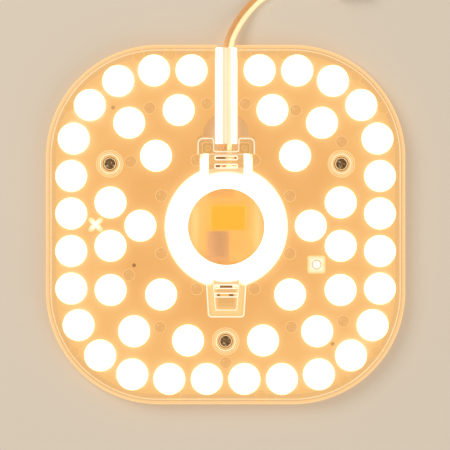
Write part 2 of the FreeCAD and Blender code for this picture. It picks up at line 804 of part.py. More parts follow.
def lens_cover():
    lenses = shape_feature("lens_crowns", copies(lens_crown(), OUTER + INNER))
    recesses = shape_feature("led_recesses", copies(led_recess(), OUTER + INNER))
    collars = [
        rod(f"collar_{n}", "collar_radius", "plate_thickness + collar_height", x, y, PLATE_BACK)
        for n, (x, y) in enumerate(SCREWS)
    ]
    outside = joined("cover_outside", *cover_outside(), lenses, *collars)
    inside = joined("cover_inside", *cover_inside(), recesses)
    shell = without("cover_shell", outside, inside)
    added, holes = [], []
    for n, (x, y) in enumerate(SCREWS):
        added.append(rod(f"well_{n}", "well_radius", f"{PLATE_FACE} - {BOARD_FACE}", x, y, BOARD_FACE))
        holes.append(rod(f"well_bore_{n}", "well_bore", "box_height", x, y, f"{BOARD_FACE} + well_floor"))
        holes.append(rod(f"well_hole_{n}", "screw_radius + screw_hole_gap", "box_height", x, y, BOARD_BACK))
    for n, (x, y) in enumerate(POSTS):
        added += snap_post(n, x, y)
        holes.append(
            block(
                f"post_split_{n}",
                "post_split",
                "4 * post_radius",
                f"{BOARD_FACE} - post_tip + past",
                x,
                y,
                "post_tip - past",
            )
        )
    added += [
        support_pad(f"pad_{n}", str(x), str(y)) for n, (x, y) in enumerate(pad_places())
    ]
    for n, side in enumerate((-1, 1)):
        sunk = f"{PLATE_FACE} + porch_height - pocket_depth"
        added.append(
            block(
                f"pocket_floor_{n}",
                "pocket_side + 2 * box_wall",
                "pocket_side + 2 * box_wall",
                "box_wall",
                pocket_x(side),
                POCKET_Y,
                f"{sunk} - box_wall",
            )
        )
        holes.append(
            without(
                f"pocket_space_{n}",
                block(f"pocket_{n}", "pocket_side", "pocket_side", "box_height", pocket_x(side), POCKET_Y, sunk),
                rod(f"peg_{n}", "peg_radius", "pocket_depth", pocket_x(side), POCKET_Y, sunk),
            )
        )
        root = f"{sunk} - box_wall / 2"
        added.append(
            rod(f"peg_root_{n}", "peg_radius", "pocket_depth + box_wall / 2", pocket_x(side), POCKET_Y, root)
        )
    whole = joined("cover_with_posts", shell, *added)
    return without("lens_cover", whole, joined("cover_holes", *holes))


def support_pad(name, x, y):
    """A peg from the plate's back to the LED board; twelve sides stand for its round."""
    made = doc.addObject("Part::Prism", name)
    made.Polygon = 12
    height = "plate_gap + plate_thickness / 2"
    return hold(made, Circumradius="pad_radius", Height=height, x=x, y=y, z=BOARD_FACE)


def snap_post(n, x, y):
    """A square base on the LED board, a round shank through it and a barb behind it."""
    base = block(
        f"post_base_{n}", "post_base_across", "post_base_along", "plate_gap + plate_thickness / 2", x, y, BOARD_FACE
    )
    shank = rod(f"post_shank_{n}", "post_radius", f"{BOARD_FACE} - post_tip + root", x, y, "post_tip")
    barb = cone(
        f"post_barb_{n}",
        "post_radius - post_lead_in",
        "post_radius + post_barb",
        f"{BOARD_BACK} - fit_gap - post_tip",
        x,
        y,
        "post_tip",
    )
    return [base, shank, barb]


# LED board


def led_board():
    body = new_body("led_board")
    plan = new_sketch(body, "board_plan", "XY_Plane", BOARD_BACK)
    rounded_square(plan, f"{HALF} - board_margin", "corner_radius - board_margin")
    pad(body, plan, "board_thickness")
    wide = new_sketch(body, "board_wide_opening", "XY_Plane", BOARD_BACK)
    rectangle(
        wide,
        "opening_width",
        "opening_wide_top - opening_wide_bottom",
        "spine_x",
        "(opening_wide_top + opening_wide_bottom) / 2",
    )
    pocket(body, wide, "board_thickness")
    near = mm("opening_width") / 2 + 1
    low, high = mm("opening_wide_bottom") - 1, mm("opening_wide_top") + 1
    corner = "min(opening_corner, 0.45 * (opening_wide_top - opening_wide_bottom))"
    soften(body, corner, lambda p: abs(p.x - mm("spine_x")) < near and low < p.y < high)
    head = new_sketch(body, "board_round_opening", "XY_Plane", BOARD_BACK)
    circle(head, "opening_radius", "spine_x", "opening_y")
    pocket(body, head, "board_thickness")
    holes = new_sketch(body, "board_holes", "XY_Plane", BOARD_BACK)
    for x, y in SCREWS:
        circle(holes, "screw_radius + screw_hole_gap", x, y)
    for x, y in POSTS:
        circle(holes, "post_radius + post_barb + fit_gap", x, y)
    for x, y in on_cover(SMALL_HOLES):
        circle(holes, "pin_hole_radius", str(x), str(y))
    pocket(body, holes, "board_thickness")
    return body


def led_group(places, name, margin, foot, height):
    """Boxes on the LED board at each place, as one node."""
    across, along = mm("led_across") - 2 * mm(margin), mm("led_along") - 2 * mm(margin)
    package = Part.makeBox(across, along, mm(height), Vector(-across / 2, -along / 2, mm(foot)))
    return shape_feature(name, copies(package, places))


def leds():
    made = []
    for ring, places in (("outer", OUTER), ("inner", INNER)):
        made.append(led_group(places, f"led_packages_{ring}", "0", BOARD_FACE, "led_height"))
        made.append(
            led_group(
                places,
                f"led_phosphors_{ring}",
                "phosphor_margin",
                f"{BOARD_FACE} + led_height",
                "phosphor_height",
            )
        )
    return made


# Magnet feet


def magnet_feet():
    cups, discs, screws = [], [], []
    for n, (x, y) in enumerate(SCREWS):
        cups.append(
            turned(
                f"magnet_cup_{n}",
                [
                    ("screw_radius", "magnet_height - cup_floor"),
                    ("magnet_radius - cup_wall", "magnet_height - cup_floor"),
                    ("magnet_radius - cup_wall", "0"),
                    ("magnet_radius", "0"),
                    ("magnet_radius", "magnet_height"),
                    ("screw_radius", "magnet_height"),
                ],
                x,
                y,
            )
        )
        discs.append(
            turned(
                f"magnet_disc_{n}",
                [
                    ("screw_radius + disc_gap", "disc_gap"),
                    ("magnet_radius - cup_wall - disc_gap", "disc_gap"),
                    ("magnet_radius - cup_wall - disc_gap", "magnet_height - cup_floor"),
                    ("screw_radius + disc_gap", "magnet_height - cup_floor"),
                ],
                x,
                y,
            )
        )
        screws.append(magnet_screw(n, x, y))
    return [
        group("magnet_cups", *cups),
        group("magnet_discs", *discs),
        group("magnet_screws", *screws),
    ]


SCREW_TURNS = [-25, 90, 0]


def magnet_screw(n, x, y):
    """Pan head with a bevelled rim and a slotted cross, on a shank that ends inside the magnet's hub."""
    seat = f"({BOARD_FACE} + well_floor)"
    body = turned(
        f"screw_blank_{n}",
        [
            ("0", "magnet_height - screw_reach + disc_gap"),
            ("screw_radius", "magnet_height - screw_reach + disc_gap"),
            ("screw_radius", seat),
            ("head_radius", seat),
            ("head_radius", f"{seat} + head_height - head_bevel"),
            ("head_radius - head_bevel", f"{seat} + head_height"),
            ("0", f"{seat} + head_height"),
        ],
        x,
        y,
    )
    top = f"{seat} + head_height - slot_depth"
    slot = block(f"screw_slot_{n}", "2 * head_radius + past", "slot_width", "head_height", "0", "0", "0")
    cross = block(f"screw_cross_{n}", "slot_width", "cross_length", "head_height", "0", "0", "0")
    both = joined(f"screw_drive_{n}", slot, cross)
    both.Placement = Placement(Vector(0, 0, 0), Rotation(Vector(0, 0, 1), SCREW_TURNS[n]))
    hold(both, x=x, y=y, z=top)
    return without(f"magnet_screw_{n}", body, both)


# Driver


# Half the length of the driver board's wide part: the tray's corners keep their room to the dome's inside at its rim

TRAY_TOP = f"({BOARD_FACE} + tray_wall + tray_rim - {DOME_CENTRE})"
INNER_DOME = "(dome_radius - dome_wall)"
CORNER_WAY = f"(sqrt({INNER_DOME} * {INNER_DOME} - {TRAY_TOP} * {TRAY_TOP}) - tray_room)"
TRAY_HALF = "(driver_width / 2 + driver_gap + tray_wall)"
DRIVER_HALF = f"(sqrt({CORNER_WAY} * {CORNER_WAY} - {TRAY_HALF} * {TRAY_HALF}) - driver_gap - tray_wall)"
WIDE_TOP = f"(dome_y + {DRIVER_HALF})"
WIDE_BOTTOM = f"(dome_y - {DRIVER_HALF})"


def three_part_plan(body, name, grow, foot):
    """The driver's plan: a wide middle with a narrower part at each end, each grown by a margin."""
    parts = (
        ("wide", "driver_width", WIDE_BOTTOM, WIDE_TOP),
        ("upper", "driver_upper_width", WIDE_BOTTOM, "driver_top_y"),
        ("lower", "driver_lower_width", "driver_bottom_y", WIDE_TOP),
    )
    for part, width, low, high in parts:
        drawing = new_sketch(body, f"{name}_{part}", "XY_Plane", foot)
        rectangle(
            drawing,
            f"{width} + 2 * ({grow})",
            f"{high} - {low} + 2 * ({grow})",
            "spine_x",
            f"({low} + {high}) / 2",
        )
        yield drawing


def driver_tray():
    body = new_body("driver_tray")
    grow = "driver_gap + tray_wall"
    for drawing in three_part_plan(body, "tray_out", grow, BOARD_FACE):
        pad(body, drawing, "tray_rim + tray_wall")
    doc.recompute()
    for drawing in three_part_plan(body, "tray_in", "driver_gap", f"{BOARD_FACE} + tray_wall"):
        pocket(body, drawing, "tray_rim")
    posts = new_sketch(body, "tray_posts", "XY_Plane", f"{BOARD_FACE} + tray_wall")
    for side in (-1, 1):
        for edge in (f"{WIDE_BOTTOM} + tray_post_inset", f"{WIDE_TOP} - tray_post_inset"):
            x = f"spine_x + {side} * (driver_width / 2 - tray_post_inset)"
            rectangle(posts, "tray_post", "tray_post", x, edge)
    pad(body, posts, "driver_lift")
    return body


def driver_board():
    body = new_body("driver_board")
    for drawing in three_part_plan(body, "driver", "0", DRIVER_BACK):
        pad(body, drawing, "driver_thickness")
    return body


def transformer():
    """A bobbin on its foot, two core halves that meet round it, and the tape over its winding."""
    foot = block("bobbin_foot_block", "core_across", "core_along", "bobbin_foot", "core_x", "core_y", ON_BOARD)
    room = "(core_along - 2 * core_limb)"
    tube = block(
        "bobbin_tube",
        "core_across - 2 * core_limb",
        f"{room} - bobbin_gap",
        "core_height",
        "core_x",
        "core_y",
        f"{ON_BOARD} + bobbin_foot",
    )
    bobbin = joined("transformer_bobbin", foot, tube)
    top = f"{ON_BOARD} + bobbin_foot"
    frame = block("core_frame", "core_across", "core_along", "core_height", "core_x", "core_y", top)
    window = block(
        "core_window",
        "core_across - 2 * core_limb + bobbin_gap",
        room,
        "core_height + 2 * past",
        "core_x",
        "core_y",
        f"{top} - past",
    )
    core = without("transformer_core", frame, window)
    cover = block(
        "transformer_winding",
        "core_across",
        "core_along",
        "tape_thickness",
        "core_x",
        "core_y",
        f"{top} + core_height",
    )
    return [bobbin, core, cover]


def lying_can(name, radius, length, x, y, along_y):
    """An electrolytic can lying on the driver board."""
    body = turned(
        name,
        [
            ("0", f"-({length}) / 2"),
            (radius, f"-({length}) / 2"),
            (radius, f"({length}) / 2"),
            ("0", f"({length}) / 2"),
        ],
    )
    axis = Vector(1, 0, 0) if along_y else Vector(0, 1, 0)
    body.Placement = Placement(Vector(0, 0, 0), Rotation(axis, 90))
    return hold(body, x=x, y=y, z=f"{ON_BOARD} + {radius}")


def fuse_resistor():
    body = turned(
        "fuse_resistor",
        [
            ("0", "-fuse_length / 2"),
            ("fuse_radius", "-fuse_length / 2"),
            ("fuse_radius", "fuse_length / 2"),
            ("0", "fuse_length / 2"),
        ],
    )
    body.Placement = Placement(Vector(0, 0, 0), Rotation(Vector(0, 1, 0), 90))
    return hold(body, x="spine_x", y="fuse_y", z=f"{ON_BOARD} + fuse_radius")


def choke():
    low, high = ON_BOARD, f"({ON_BOARD} + choke_height)"
    return turned(
        "choke",
        [
            ("0", low),
            ("choke_radius", low),
            ("choke_radius", f"{low} + choke_flange"),
            ("choke_core_radius", f"{low} + choke_flange"),
            ("choke_core_radius", f"{high} - choke_flange"),
            ("choke_radius", f"{high} - choke_flange"),
            ("choke_radius", high),
            ("0", high),
        ],
        "choke_x",
        "choke_y",
    )


def boxed_part(label, stem):
    """A plain moulded part of the driver, by the sizes that carry its name."""
    return block(
        label,
        f"{stem}_across",
        f"{stem}_along",
        f"{stem}_height",
        f"spine_x + {stem}_x",
        f"{stem}_y",
        ON_BOARD,
    )


def chip_resistors():
    rows = [
        block(
            f"chip_resistor_{row}",
            "resistor_across",
            "resistor_along",
            "resistor_height",
            "spine_x + resistor_x",
            f"resistor_y + {row} * resistor_pitch",
            ON_BOARD,
        )
        for row in range(5)
    ]
    return group("chip_resistors", *rows)


def driver_parts():
    return [
        driver_tray(),
        driver_board(),
        *transformer(),
        lying_can("input_capacitor", "input_can_radius", "input_can_length", "input_can_x", "input_can_y", True),
        lying_can("output_capacitor", "output_can_radius", "output_can_length", "output_can_x", "output_can_y", False),
        fuse_resistor(),
        choke(),
        boxed_part("film_capacitor", "film"),
        boxed_part("bridge_rectifier", "bridge"),
        boxed_part("driver_chip", "chip"),
        boxed_part("output_diode", "diode"),
        chip_resistors(),
    ]


# Supply lead: two wires side by side and the connector at their end

# Points of the line midway between the wires: up the porch, along the tunnel, out over the skirt,
# down to the surface and along it past the photograph's edge.
LEAD_POINTS = [
    (0.4, 28.0, 11.05),
    (0.5, 35.6, 10.9),
    (0.9, 43.6, 8.8),
    (1.3, 53.0, 8.0),
    (0.9, 65.0, 7.9),
    (0.8, 77.5, 8.0),
    (1.2, 90.2, 8.1),
    (4.7, 98.6, 5.7),
    (10.3, 107.0, 2.7),
    (17.4, 114.4, 1.5),
    (27.0, 119.6, 1.3),
    (38.0, 121.6, 1.6),
    (49.0, 121.2, 2.6),
    (59.0, 121.2, 2.9),
]


def beside(points, side):
    """The points of one wire, level with the line between both; the last run is at its pole of the connector."""
    moved = []
    last = len(points) - 1
    for index, (x, y, z) in enumerate(points):
        before = points[max(index - 1, 0)]
        after = points[min(index + 1, last)]
        along_x, along_y = after[0] - before[0], after[1] - before[1]
        length = math.hypot(along_x, along_y)
        if index >= last - 1:
            moved.append(Vector(x, y - side * mm("connector_pitch") / 2, z))
        else:
            offset = side * mm("wire_spacing") / 2
            moved.append(Vector(x + offset * along_y / length, y - offset * along_x / length, z))
    return moved


def eight_sided(radius, centre, along):
    """An eight-sided ring across a direction, plain enough for a long tube."""
    turn = Rotation(Vector(0, 0, 1), along)
    corners = []
    for step in range(9):
        angle = math.radians(45 * step + 22.5)
        corners.append(centre + turn.multVec(Vector(radius * math.cos(angle), radius * math.sin(angle), 0)))
    return Part.makePolygon(corners)


def wire(name, side):
    """A tube of straight runs joined by tangent arcs, each as large as its runs allow."""
    points = beside(LEAD_POINTS, side)
    edges, here, radii = [], points[0], []
    for before, point, after in zip(points, points[1:], points[2:]):
        back, ahead = before - point, after - point
        shorter = min(back.Length, ahead.Length)
        back.normalize()
        ahead.normalize()
        half_turn = (math.pi - back.getAngle(ahead)) / 2
        radius = 0.45 * shorter / math.tan(half_turn)
        cut = 0.45 * shorter
        start, end = point + back * cut, point + ahead * cut
        inward = back + ahead
        inward.normalize()
        middle = point + inward * (radius / math.cos(half_turn) - radius)
        edges.append(Part.LineSegment(here, start).toShape())
        edges.append(Part.Arc(start, middle, end).toShape())
        radii.append(round(radius, 1))
        here = end
    edges.append(Part.LineSegment(here, points[-1]).toShape())
    path = Part.Wire(edges)
    section = eight_sided(mm("wire_diameter") / 2, points[0], points[1] - points[0])
    tube = path.makePipeShell([section], True, False)
    expected = Part.Face(section).Area * path.Length
    if abs(tube.Volume - expected) > 0.01 * expected:
        raise ValueError(f"{name}: volume {tube.Volume:.1f}, expected {expected:.1f}")
    print(name, "length", round(path.Length, 1), "bend radii", radii)
    return shape_feature(name, tube)


def connector():
    """Two-pole connector: a housing with two wire entries, a brass clamp in each and its screw."""
    end_x, end_y, level = LEAD_POINTS[-1]
    low_x = end_x - mm("wire_reach")
    middle = f"{low_x} + connector_length / 2"
    shell = block(
        "connector_shell", "connector_length", "connector_width", "connector_height", middle, str(end_y), "0"
    )
    tools, clamps, screws = [], [], []
    for n, side in enumerate((-1, 1)):
        y = f"{end_y} + {side} * connector_pitch / 2"
        tools.append(
            block(
                f"wire_entry_{n}",
                "connector_depth",
                "connector_entry",
                "connector_entry",
                f"{low_x} + connector_depth / 2",
                y,
                f"{level} - connector_entry / 2",
            )
        )
        clamp_x = f"{low_x} + connector_depth - clamp_setback"
        tools.append(
            rod(f"screw_way_{n}", "driver_hole_radius", "connector_height", clamp_x, y, str(level))
        )
        side_size = "connector_entry - clamp_gap"
        foot = f"{level} - ({side_size}) / 2"
        tube = block(f"clamp_block_{n}", "clamp_length", side_size, side_size, clamp_x, y, foot)
        bore = block(
            f"clamp_bore_{n}",
            "clamp_length + past",
            f"{side_size} - 2 * clamp_wall",
            f"{side_size} - 2 * clamp_wall",
            clamp_x,
            y,
            f"{foot} + clamp_wall",
        )
        clamps.append(without(f"clamp_{n}", tube, bore))
        screws.append(
            rod(
                f"clamp_screw_{n}",
                "clamp_screw_radius",
                "clamp_screw_height",
                clamp_x,
                y,
                f"{level} + ({side_size}) / 2",
            )
        )
    housing = without("connector_housing", shell, joined("connector_holes", *tools))
    return [housing, group("connector_clamps", *clamps), group("connector_screws", *screws)]


# Build, check and write


def check(things):
    """Stops if any object failed, or a piece's shape is missing or not valid."""
    for thing in doc.Objects:
        if {"Invalid", "Error"} & set(thing.State):
            raise ValueError(f"{thing.Name} failed: {thing.State}")
    for thing in things:
        if thing.Shape.isNull() or not thing.Shape.isValid() or not thing.Shape.Solids:
            raise ValueError(f"{thing.Label} has no valid shape")


pieces = [
    lens_cover(),
    led_board(),
    *leds(),
    *magnet_feet(),
    *driver_parts(),
    wire("lead_wire_left", -1),
    wire("lead_wire_right", 1),
    *connector(),
]
doc.recompute()
check(pieces)
os.makedirs("parts", exist_ok=True)
for piece in pieces:
    piece.Shape.exportStep(f"parts/{piece.Label}.step")
    print(piece.Label, len(piece.Shape.Solids), "solids", round(piece.Shape.Volume, 1))
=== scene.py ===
"""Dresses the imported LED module: a lit, clear lens cover over a white board, seen from straight above.

Everything is in metres in the part's own frame: Z is 0 at the magnets' faces, +Z points to the lenses and
the supply lead leaves towards +Y. Sizes that the source of the part names in millimetres are written here in
millimetres too and turned to metres by MM.
"""

import math

import bpy
import numpy as np
from bpy.props import FloatProperty, FloatVectorProperty, PointerProperty
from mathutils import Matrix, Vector


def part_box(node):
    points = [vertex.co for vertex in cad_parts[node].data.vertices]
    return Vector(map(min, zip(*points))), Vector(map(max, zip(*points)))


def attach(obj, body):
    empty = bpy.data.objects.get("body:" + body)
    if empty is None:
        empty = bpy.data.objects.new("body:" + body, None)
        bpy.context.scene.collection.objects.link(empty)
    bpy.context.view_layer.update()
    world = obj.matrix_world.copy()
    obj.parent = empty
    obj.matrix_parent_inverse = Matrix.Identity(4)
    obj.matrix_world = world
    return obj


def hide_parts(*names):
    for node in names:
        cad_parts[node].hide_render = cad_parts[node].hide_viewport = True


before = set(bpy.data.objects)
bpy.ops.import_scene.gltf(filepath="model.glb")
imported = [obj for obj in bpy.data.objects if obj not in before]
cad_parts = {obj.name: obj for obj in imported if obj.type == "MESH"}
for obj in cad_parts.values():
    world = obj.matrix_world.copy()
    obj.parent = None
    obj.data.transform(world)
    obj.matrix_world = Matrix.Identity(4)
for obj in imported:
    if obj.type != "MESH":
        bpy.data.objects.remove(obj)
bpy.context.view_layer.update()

bl_info = {
    "name": "LED ceiling module",
    "version": (1, 0, 0),
    "blender": (4, 5, 0),
    "location": "3D View > Sidebar > LED module",
    "description": "Builds the lit look of a square LED module over its packed solids",
    "category": "Object",
}

MM = 0.001
COVER_LOW, COVER_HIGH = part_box("lens_cover")
BOARD_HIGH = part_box("led_board")[1]

# Levels and lines of the cover, from the frame where it has them
BOARD_FACE = BOARD_HIGH.z
PLATE_BACK = BOARD_FACE + 1.8 * MM
PLATE_FACE = PLATE_BACK + 1.2 * MM
BOX_ROOF = PLATE_FACE + 7.0 * MM
PORCH_ROOF = PLATE_FACE + 4.4 * MM
TUNNEL_ROOF = PLATE_FACE + 2.8 * MM
SKIRT_FOOT = COVER_LOW.z
DOME_TOP = COVER_HIGH.z
HALF = COVER_HIGH.x
SPINE = 0.3 * MM
DOME_Y = -1.1 * MM
SCREWS = np.array([(-57.9, 30.4), (57.9, 30.4), (0.0, -58.3)]) * MM
POST_RIGHT = np.array([(45.5, -20.0)]) * MM
POST_LEFT = np.array([(-65.0, 0.0)]) * MM

# Rounded square that the outer lenses follow, and the sphere of the dome's round side
LENS_PATH_INSET, LENS_PATH_RADIUS = 12.9 * MM, 44.7 * MM
LENSES_PER_SIDE, LEAD_GAP = 14, 7.65 * MM
DOME_RADIUS, DOME_CENTRE_Z = 33.1 * MM, -3.1 * MM
DOME_WALL, WINDOW_RADIUS = 1.5 * MM, 19.5 * MM

# Forms on the plate: half widths at their foot and at their roof, and where they start and end along the spine
UPPER_BASE, UPPER_ROOF = 13.2 * MM, 10.05 * MM
UPPER_INNER_Y, PORCH_FOOT_Y = 20.0 * MM, 35.3 * MM
LOWER_BASE, LOWER_ROOF = 10.25 * MM, 7.0 * MM
LOWER_END_BASE, LOWER_END_ROOF = 8.8 * MM, 5.1 * MM
LOWER_INNER_Y, LOWER_END_Y, LOWER_ROOF_END_Y = -22.0 * MM, -46.1 * MM, -42.5 * MM
TUNNEL_BASE, TUNNEL_ROOF_HALF = 5.6 * MM, 3.9 * MM
TUNNEL_START_Y, TUNNEL_END_Y = 40.4 * MM, 88.4 * MM
PORCH_HALF, PORCH_TOP_Y, PORCH_CORNER = 14.05 * MM, 43.0 * MM, 2.5 * MM
NOTCH_HALF, NOTCH_FLOOR_Y = 6.3 * MM, 36.4 * MM
UPPER_VENTS = [29.1 * MM, 33.2 * MM]
LOWER_VENTS = [-30.9 * MM, -35.1 * MM]
VENT_HALF, VENT_WIDTH = 5.6 * MM, 1.8 * MM

# Board, pads and wells
PAD_RADIUS = 2.9 * MM
PAD_RING = 35.3 * MM
WELL_BORE, WELL_RADIUS, COLLAR_RADIUS, COLLAR_HEIGHT = 3.7 * MM, 5.0 * MM, 6.8 * MM, 0.7 * MM
OPENING_RADIUS, OPENING_Y, OPENING_HALF = 11.5 * MM, 45.0 * MM, 14.75 * MM
OPENING_WIDE_Y, OPENING_WIDE_HALF = 40.0 * MM, 4.6 * MM


# Colours


def linear(code, alpha=1.0):
    """An sRGB hex colour as the linear numbers that shaders use."""
    parts = np.array([int(code[i : i + 2], 16) for i in (1, 3, 5)]) / 255
    straight = np.where(parts <= 0.04045, parts / 12.92, ((parts + 0.055) / 1.055) ** 2.4)
    return (*straight, alpha)


# Settings that a user would change


class LedModuleCover(bpy.types.PropertyGroup):
    lens_diameter: FloatProperty(
        name="Lens diameter", description="Foot of one lens", default=16.0 * MM, unit="LENGTH"
    )
    lens_crown: FloatProperty(
        name="Lens crown", description="Height of one lens over the plate", default=2.55 * MM,
        unit="LENGTH"
    )
    wall: FloatProperty(
        name="Wall", description="Wall of boxes, dome and tunnel", default=1.3 * MM, unit="LENGTH"
    )
    edge: FloatProperty(
        name="Lit edge", description="Radius of the moulded edges that catch light", default=0.32 * MM,
        unit="LENGTH"
    )


class LedModuleGlow(bpy.types.PropertyGroup):
    lens: FloatProperty(name="Lenses", description="Light that leaves the lenses", default=1.5, min=0)
    wall: FloatProperty(
        name="Walls", description="Light in the dome's side and the box walls", default=1.25, min=0
    )
    board: FloatProperty(name="Board", description="Light on the board under the plate", default=0.96, min=0)
    halo: FloatProperty(name="Halo", description="Bloom round the brightest parts", default=0.12, min=0, max=1)


class LedModuleStage(bpy.types.PropertyGroup):
    frame_width: FloatProperty(
        name="Frame width", description="Width that the picture shows at the plate", default=225.0 * MM,
        unit="LENGTH"
    )
    camera_height: FloatProperty(
        name="Camera height", description="Camera above the plate", default=1.5, unit="LENGTH"
    )
    floor: FloatVectorProperty(
        name="Floor colour", description="Plain pale floor", subtype="COLOR", size=4,
        default=linear("#E6DED2"), min=0, max=1
    )
    key: FloatProperty(name="Key light", description="Power of the larger soft light", default=9.0, min=0)


# Shader helpers


def add(tree, kind, settings=None, **links):
    """A node with its settings and its inputs; an input is a value, or an output socket to link from."""
    made = tree.nodes.new(kind)
    for name, value in (settings or {}).items():
        setattr(made, name, value)
    for name, value in links.items():
        numbered = name[0] == "i" and name[1:].isdigit()
        socket = made.inputs[int(name[1:]) if numbered else name.replace("_", " ")]
        if isinstance(value, bpy.types.NodeSocket):
            tree.links.new(value, socket)
        else:
            socket.default_value = value
    return made


def ramp(tree, factor, *stops):
    """A colour ramp from pairs of position and sRGB hex colour."""
    made = add(tree, "ShaderNodeValToRGB", i0=factor)
    points = made.color_ramp.elements
    while len(points) < len(stops):
        points.new(0.5)
    for point, (place, code) in zip(points, stops):
        point.position = place
        point.color = linear(code)
    return made.outputs[0]


def new_material(name):
    """An empty material and its node tree."""
    made = bpy.data.materials.new(name)
    made.use_nodes = True
    made.node_tree.nodes.clear()
    return made, made.node_tree


def finish_material(tree, shader):
    """Links the surface to the output."""
    output = tree.nodes.new("ShaderNodeOutputMaterial")
    tree.links.new(shader, output.inputs["Surface"])


def principled(tree, base, roughness, colour, strength, **more):
    """The surface of nearly every material: a base, and the light that the piece gives off or passes on."""
    body = add(
        tree, "ShaderNodeBsdfPrincipled", Base_Color=base, Roughness=roughness,
        Emission_Color=colour, Emission_Strength=strength, **more
    )
    return body.outputs[0]


def attribute(tree, name):
    """A value that the mesh carries."""
    return add(tree, "ShaderNodeAttribute", {"attribute_name": name}).outputs["Fac"]


def sum_of(tree, value, scale, offset):
    """A value times a scale plus an offset."""
    return add(
        tree, "ShaderNodeMath", {"operation": "MULTIPLY_ADD"}, i0=value, i1=scale, i2=offset
    ).outputs[0]


def mottle(tree, scale_mm, detail=3.0):
    """Noise in object space whose grain has a size in millimetres."""
    place = add(tree, "ShaderNodeTexCoord")
    return add(
        tree, "ShaderNodeTexNoise", Vector=place.outputs["Object"], Scale=1.0 / (scale_mm * MM), Detail=detail
    ).outputs["Fac"]


def shade(tree, factor, low_code, high_code):
    """A colour between two by a factor."""
    return add(
        tree, "ShaderNodeMix", {"data_type": "RGBA"}, i0=factor, i6=linear(low_code), i7=linear(high_code)
    ).outputs[2]


def grain(tree, scale_mm, depth_mm, strength=1.0):
    """A bump from noise of a real grain size and depth."""
    return add(
        tree, "ShaderNodeBump", Strength=strength, Distance=depth_mm * MM, Height=mottle(tree, scale_mm)
    ).outputs["Normal"]


# Materials: IOR of polycarbonate, and the dark bases under surfaces whose light is painted on as a glow

POLYCARBONATE_IOR = 1.58
DARK_BASE = "#5A4830"


def lit_lens():
    """Clear polycarbonate lens over a burning LED: blown out to white, and cream where its crown meets the
    plate."""
    made, tree = new_material("polycarbonate_lens_lit")
    colour = ramp(
        tree, attribute(tree, "across"),
        (0.0, "#FFFFFF"), (0.88, "#FFFFFC"), (0.93, "#FFF6DC"), (0.96, "#FBD590"), (1.0, "#F9C67C"),
    )
    strength = bpy.context.scene.led_glow.lens
    body = principled(tree, linear("#F4EBD6"), 0.06, colour, strength, IOR=POLYCARBONATE_IOR)
    finish_material(tree, body)
    return made


def lit_wall():
    """Frosted polycarbonate wall that carries light up from the plate: white, amber where it leaves it."""
    made, tree = new_material("polycarbonate_wall_lit")
    colour = ramp(
        tree, attribute(tree, "rise"), (0.0, "#FBD08C"), (0.08, "#FFE6B8"), (0.2, "#FFFBEE"), (1.0, "#FFFFFF")
    )
    strength = bpy.context.scene.led_glow.wall
    skin = grain(tree, 0.8, 0.03)
    body = principled(tree, linear("#F2E6C8"), 0.3, colour, strength, IOR=POLYCARBONATE_IOR, Normal=skin)
    finish_material(tree, body)
    return made


def lit_post():
    """Clear polycarbonate post beside LEDs: white in its middle, and as amber as the board at its outline."""
    made, tree = new_material("polycarbonate_post_lit")
    colour = ramp(
        tree, attribute(tree, "across"),
        (0.0, "#FFFFFF"), (0.35, "#FFFAE8"), (0.7, "#FFE9BC"), (1.0, "#FACB82"),
    )
    body = principled(tree, linear(DARK_BASE), 0.15, colour, 1.0, IOR=POLYCARBONATE_IOR)
    finish_material(tree, body)
    return made


def lit_edge(name, code, strength):
    """Rounded edge of clear moulding: light that runs inside the wall leaves it as a thin bright line."""
    made, tree = new_material(name)
    level = sum_of(tree, mottle(tree, 6.0), 0.24 * strength, 0.88 * strength)
    body = principled(tree, linear(DARK_BASE), 0.15, linear(code), level, IOR=POLYCARBONATE_IOR)
    finish_material(tree, body)
    return made


def clear_sheet(name, code, cover, glow, roughness=0.08):
    """Clear polycarbonate, polished by its mould: mostly seen through, with a warm veil of stray light and a
    gloss."""
    made, tree = new_material(name)
    gloss = add(tree, "ShaderNodeFresnel", IOR=POLYCARBONATE_IOR).outputs[0]
    veil = add(tree, "ShaderNodeMath", {"operation": "MAXIMUM"}, i0=gloss, i1=cover).outputs[0]
    body = principled(tree, linear("#4A3820"), roughness, linear(code), glow, IOR=POLYCARBONATE_IOR)
    through = add(tree, "ShaderNodeBsdfTransparent").outputs[0]
    finish_material(tree, add(tree, "ShaderNodeMixShader", i0=veil, i1=through, i2=body).outputs[0])
    return made


def frosted_window():
    """Finely etched polycarbonate window: what lies under it shows soft."""
    made, tree = new_material("polycarbonate_window_frosted")
    body = principled(
        # A faint amber glow paints the LED light in the window.
        tree, linear("#FFF4DC"), 0.36, linear("#FFD38A"), 0.03,
        IOR=1.2, Transmission_Weight=1.0, Normal=grain(tree, 1.6, 0.01),
    )
    finish_material(tree, body)
    return made


def lit_mask(name="solder_mask_lit"):
    """White solder mask in the light of the warm LEDs: amber, dim near the dome, brighter towards the outer
    lenses and next to each lens, faintly cloudy. What it gets beside lenses is an attribute of the mesh."""
    made, tree = new_material(name)
    place = add(tree, "ShaderNodeTexCoord").outputs["Object"]
    way = add(tree, "ShaderNodeVectorMath", {"operation": "LENGTH"}, i0=place).outputs["Value"]
    wide = add(tree, "ShaderNodeMapRange", i0=way, i1=32 * MM, i2=92 * MM, i3=0.26, i4=0.56).outputs[0]
    both = sum_of(tree, attribute(tree, "glow"), 1.0, wide)
    colour = ramp(
        tree, sum_of(tree, mottle(tree, 17.0), 0.3, both),
        (0.2, "#E09A45"), (0.45, "#EDAA58"), (0.65, "#F5B767"), (0.85, "#FBC678"), (1.0, "#FFDDA0"),
    )
    strength = bpy.context.scene.led_glow.board
    finish_material(tree, principled(tree, linear("#33261A"), 0.55, colour, strength))
    return made


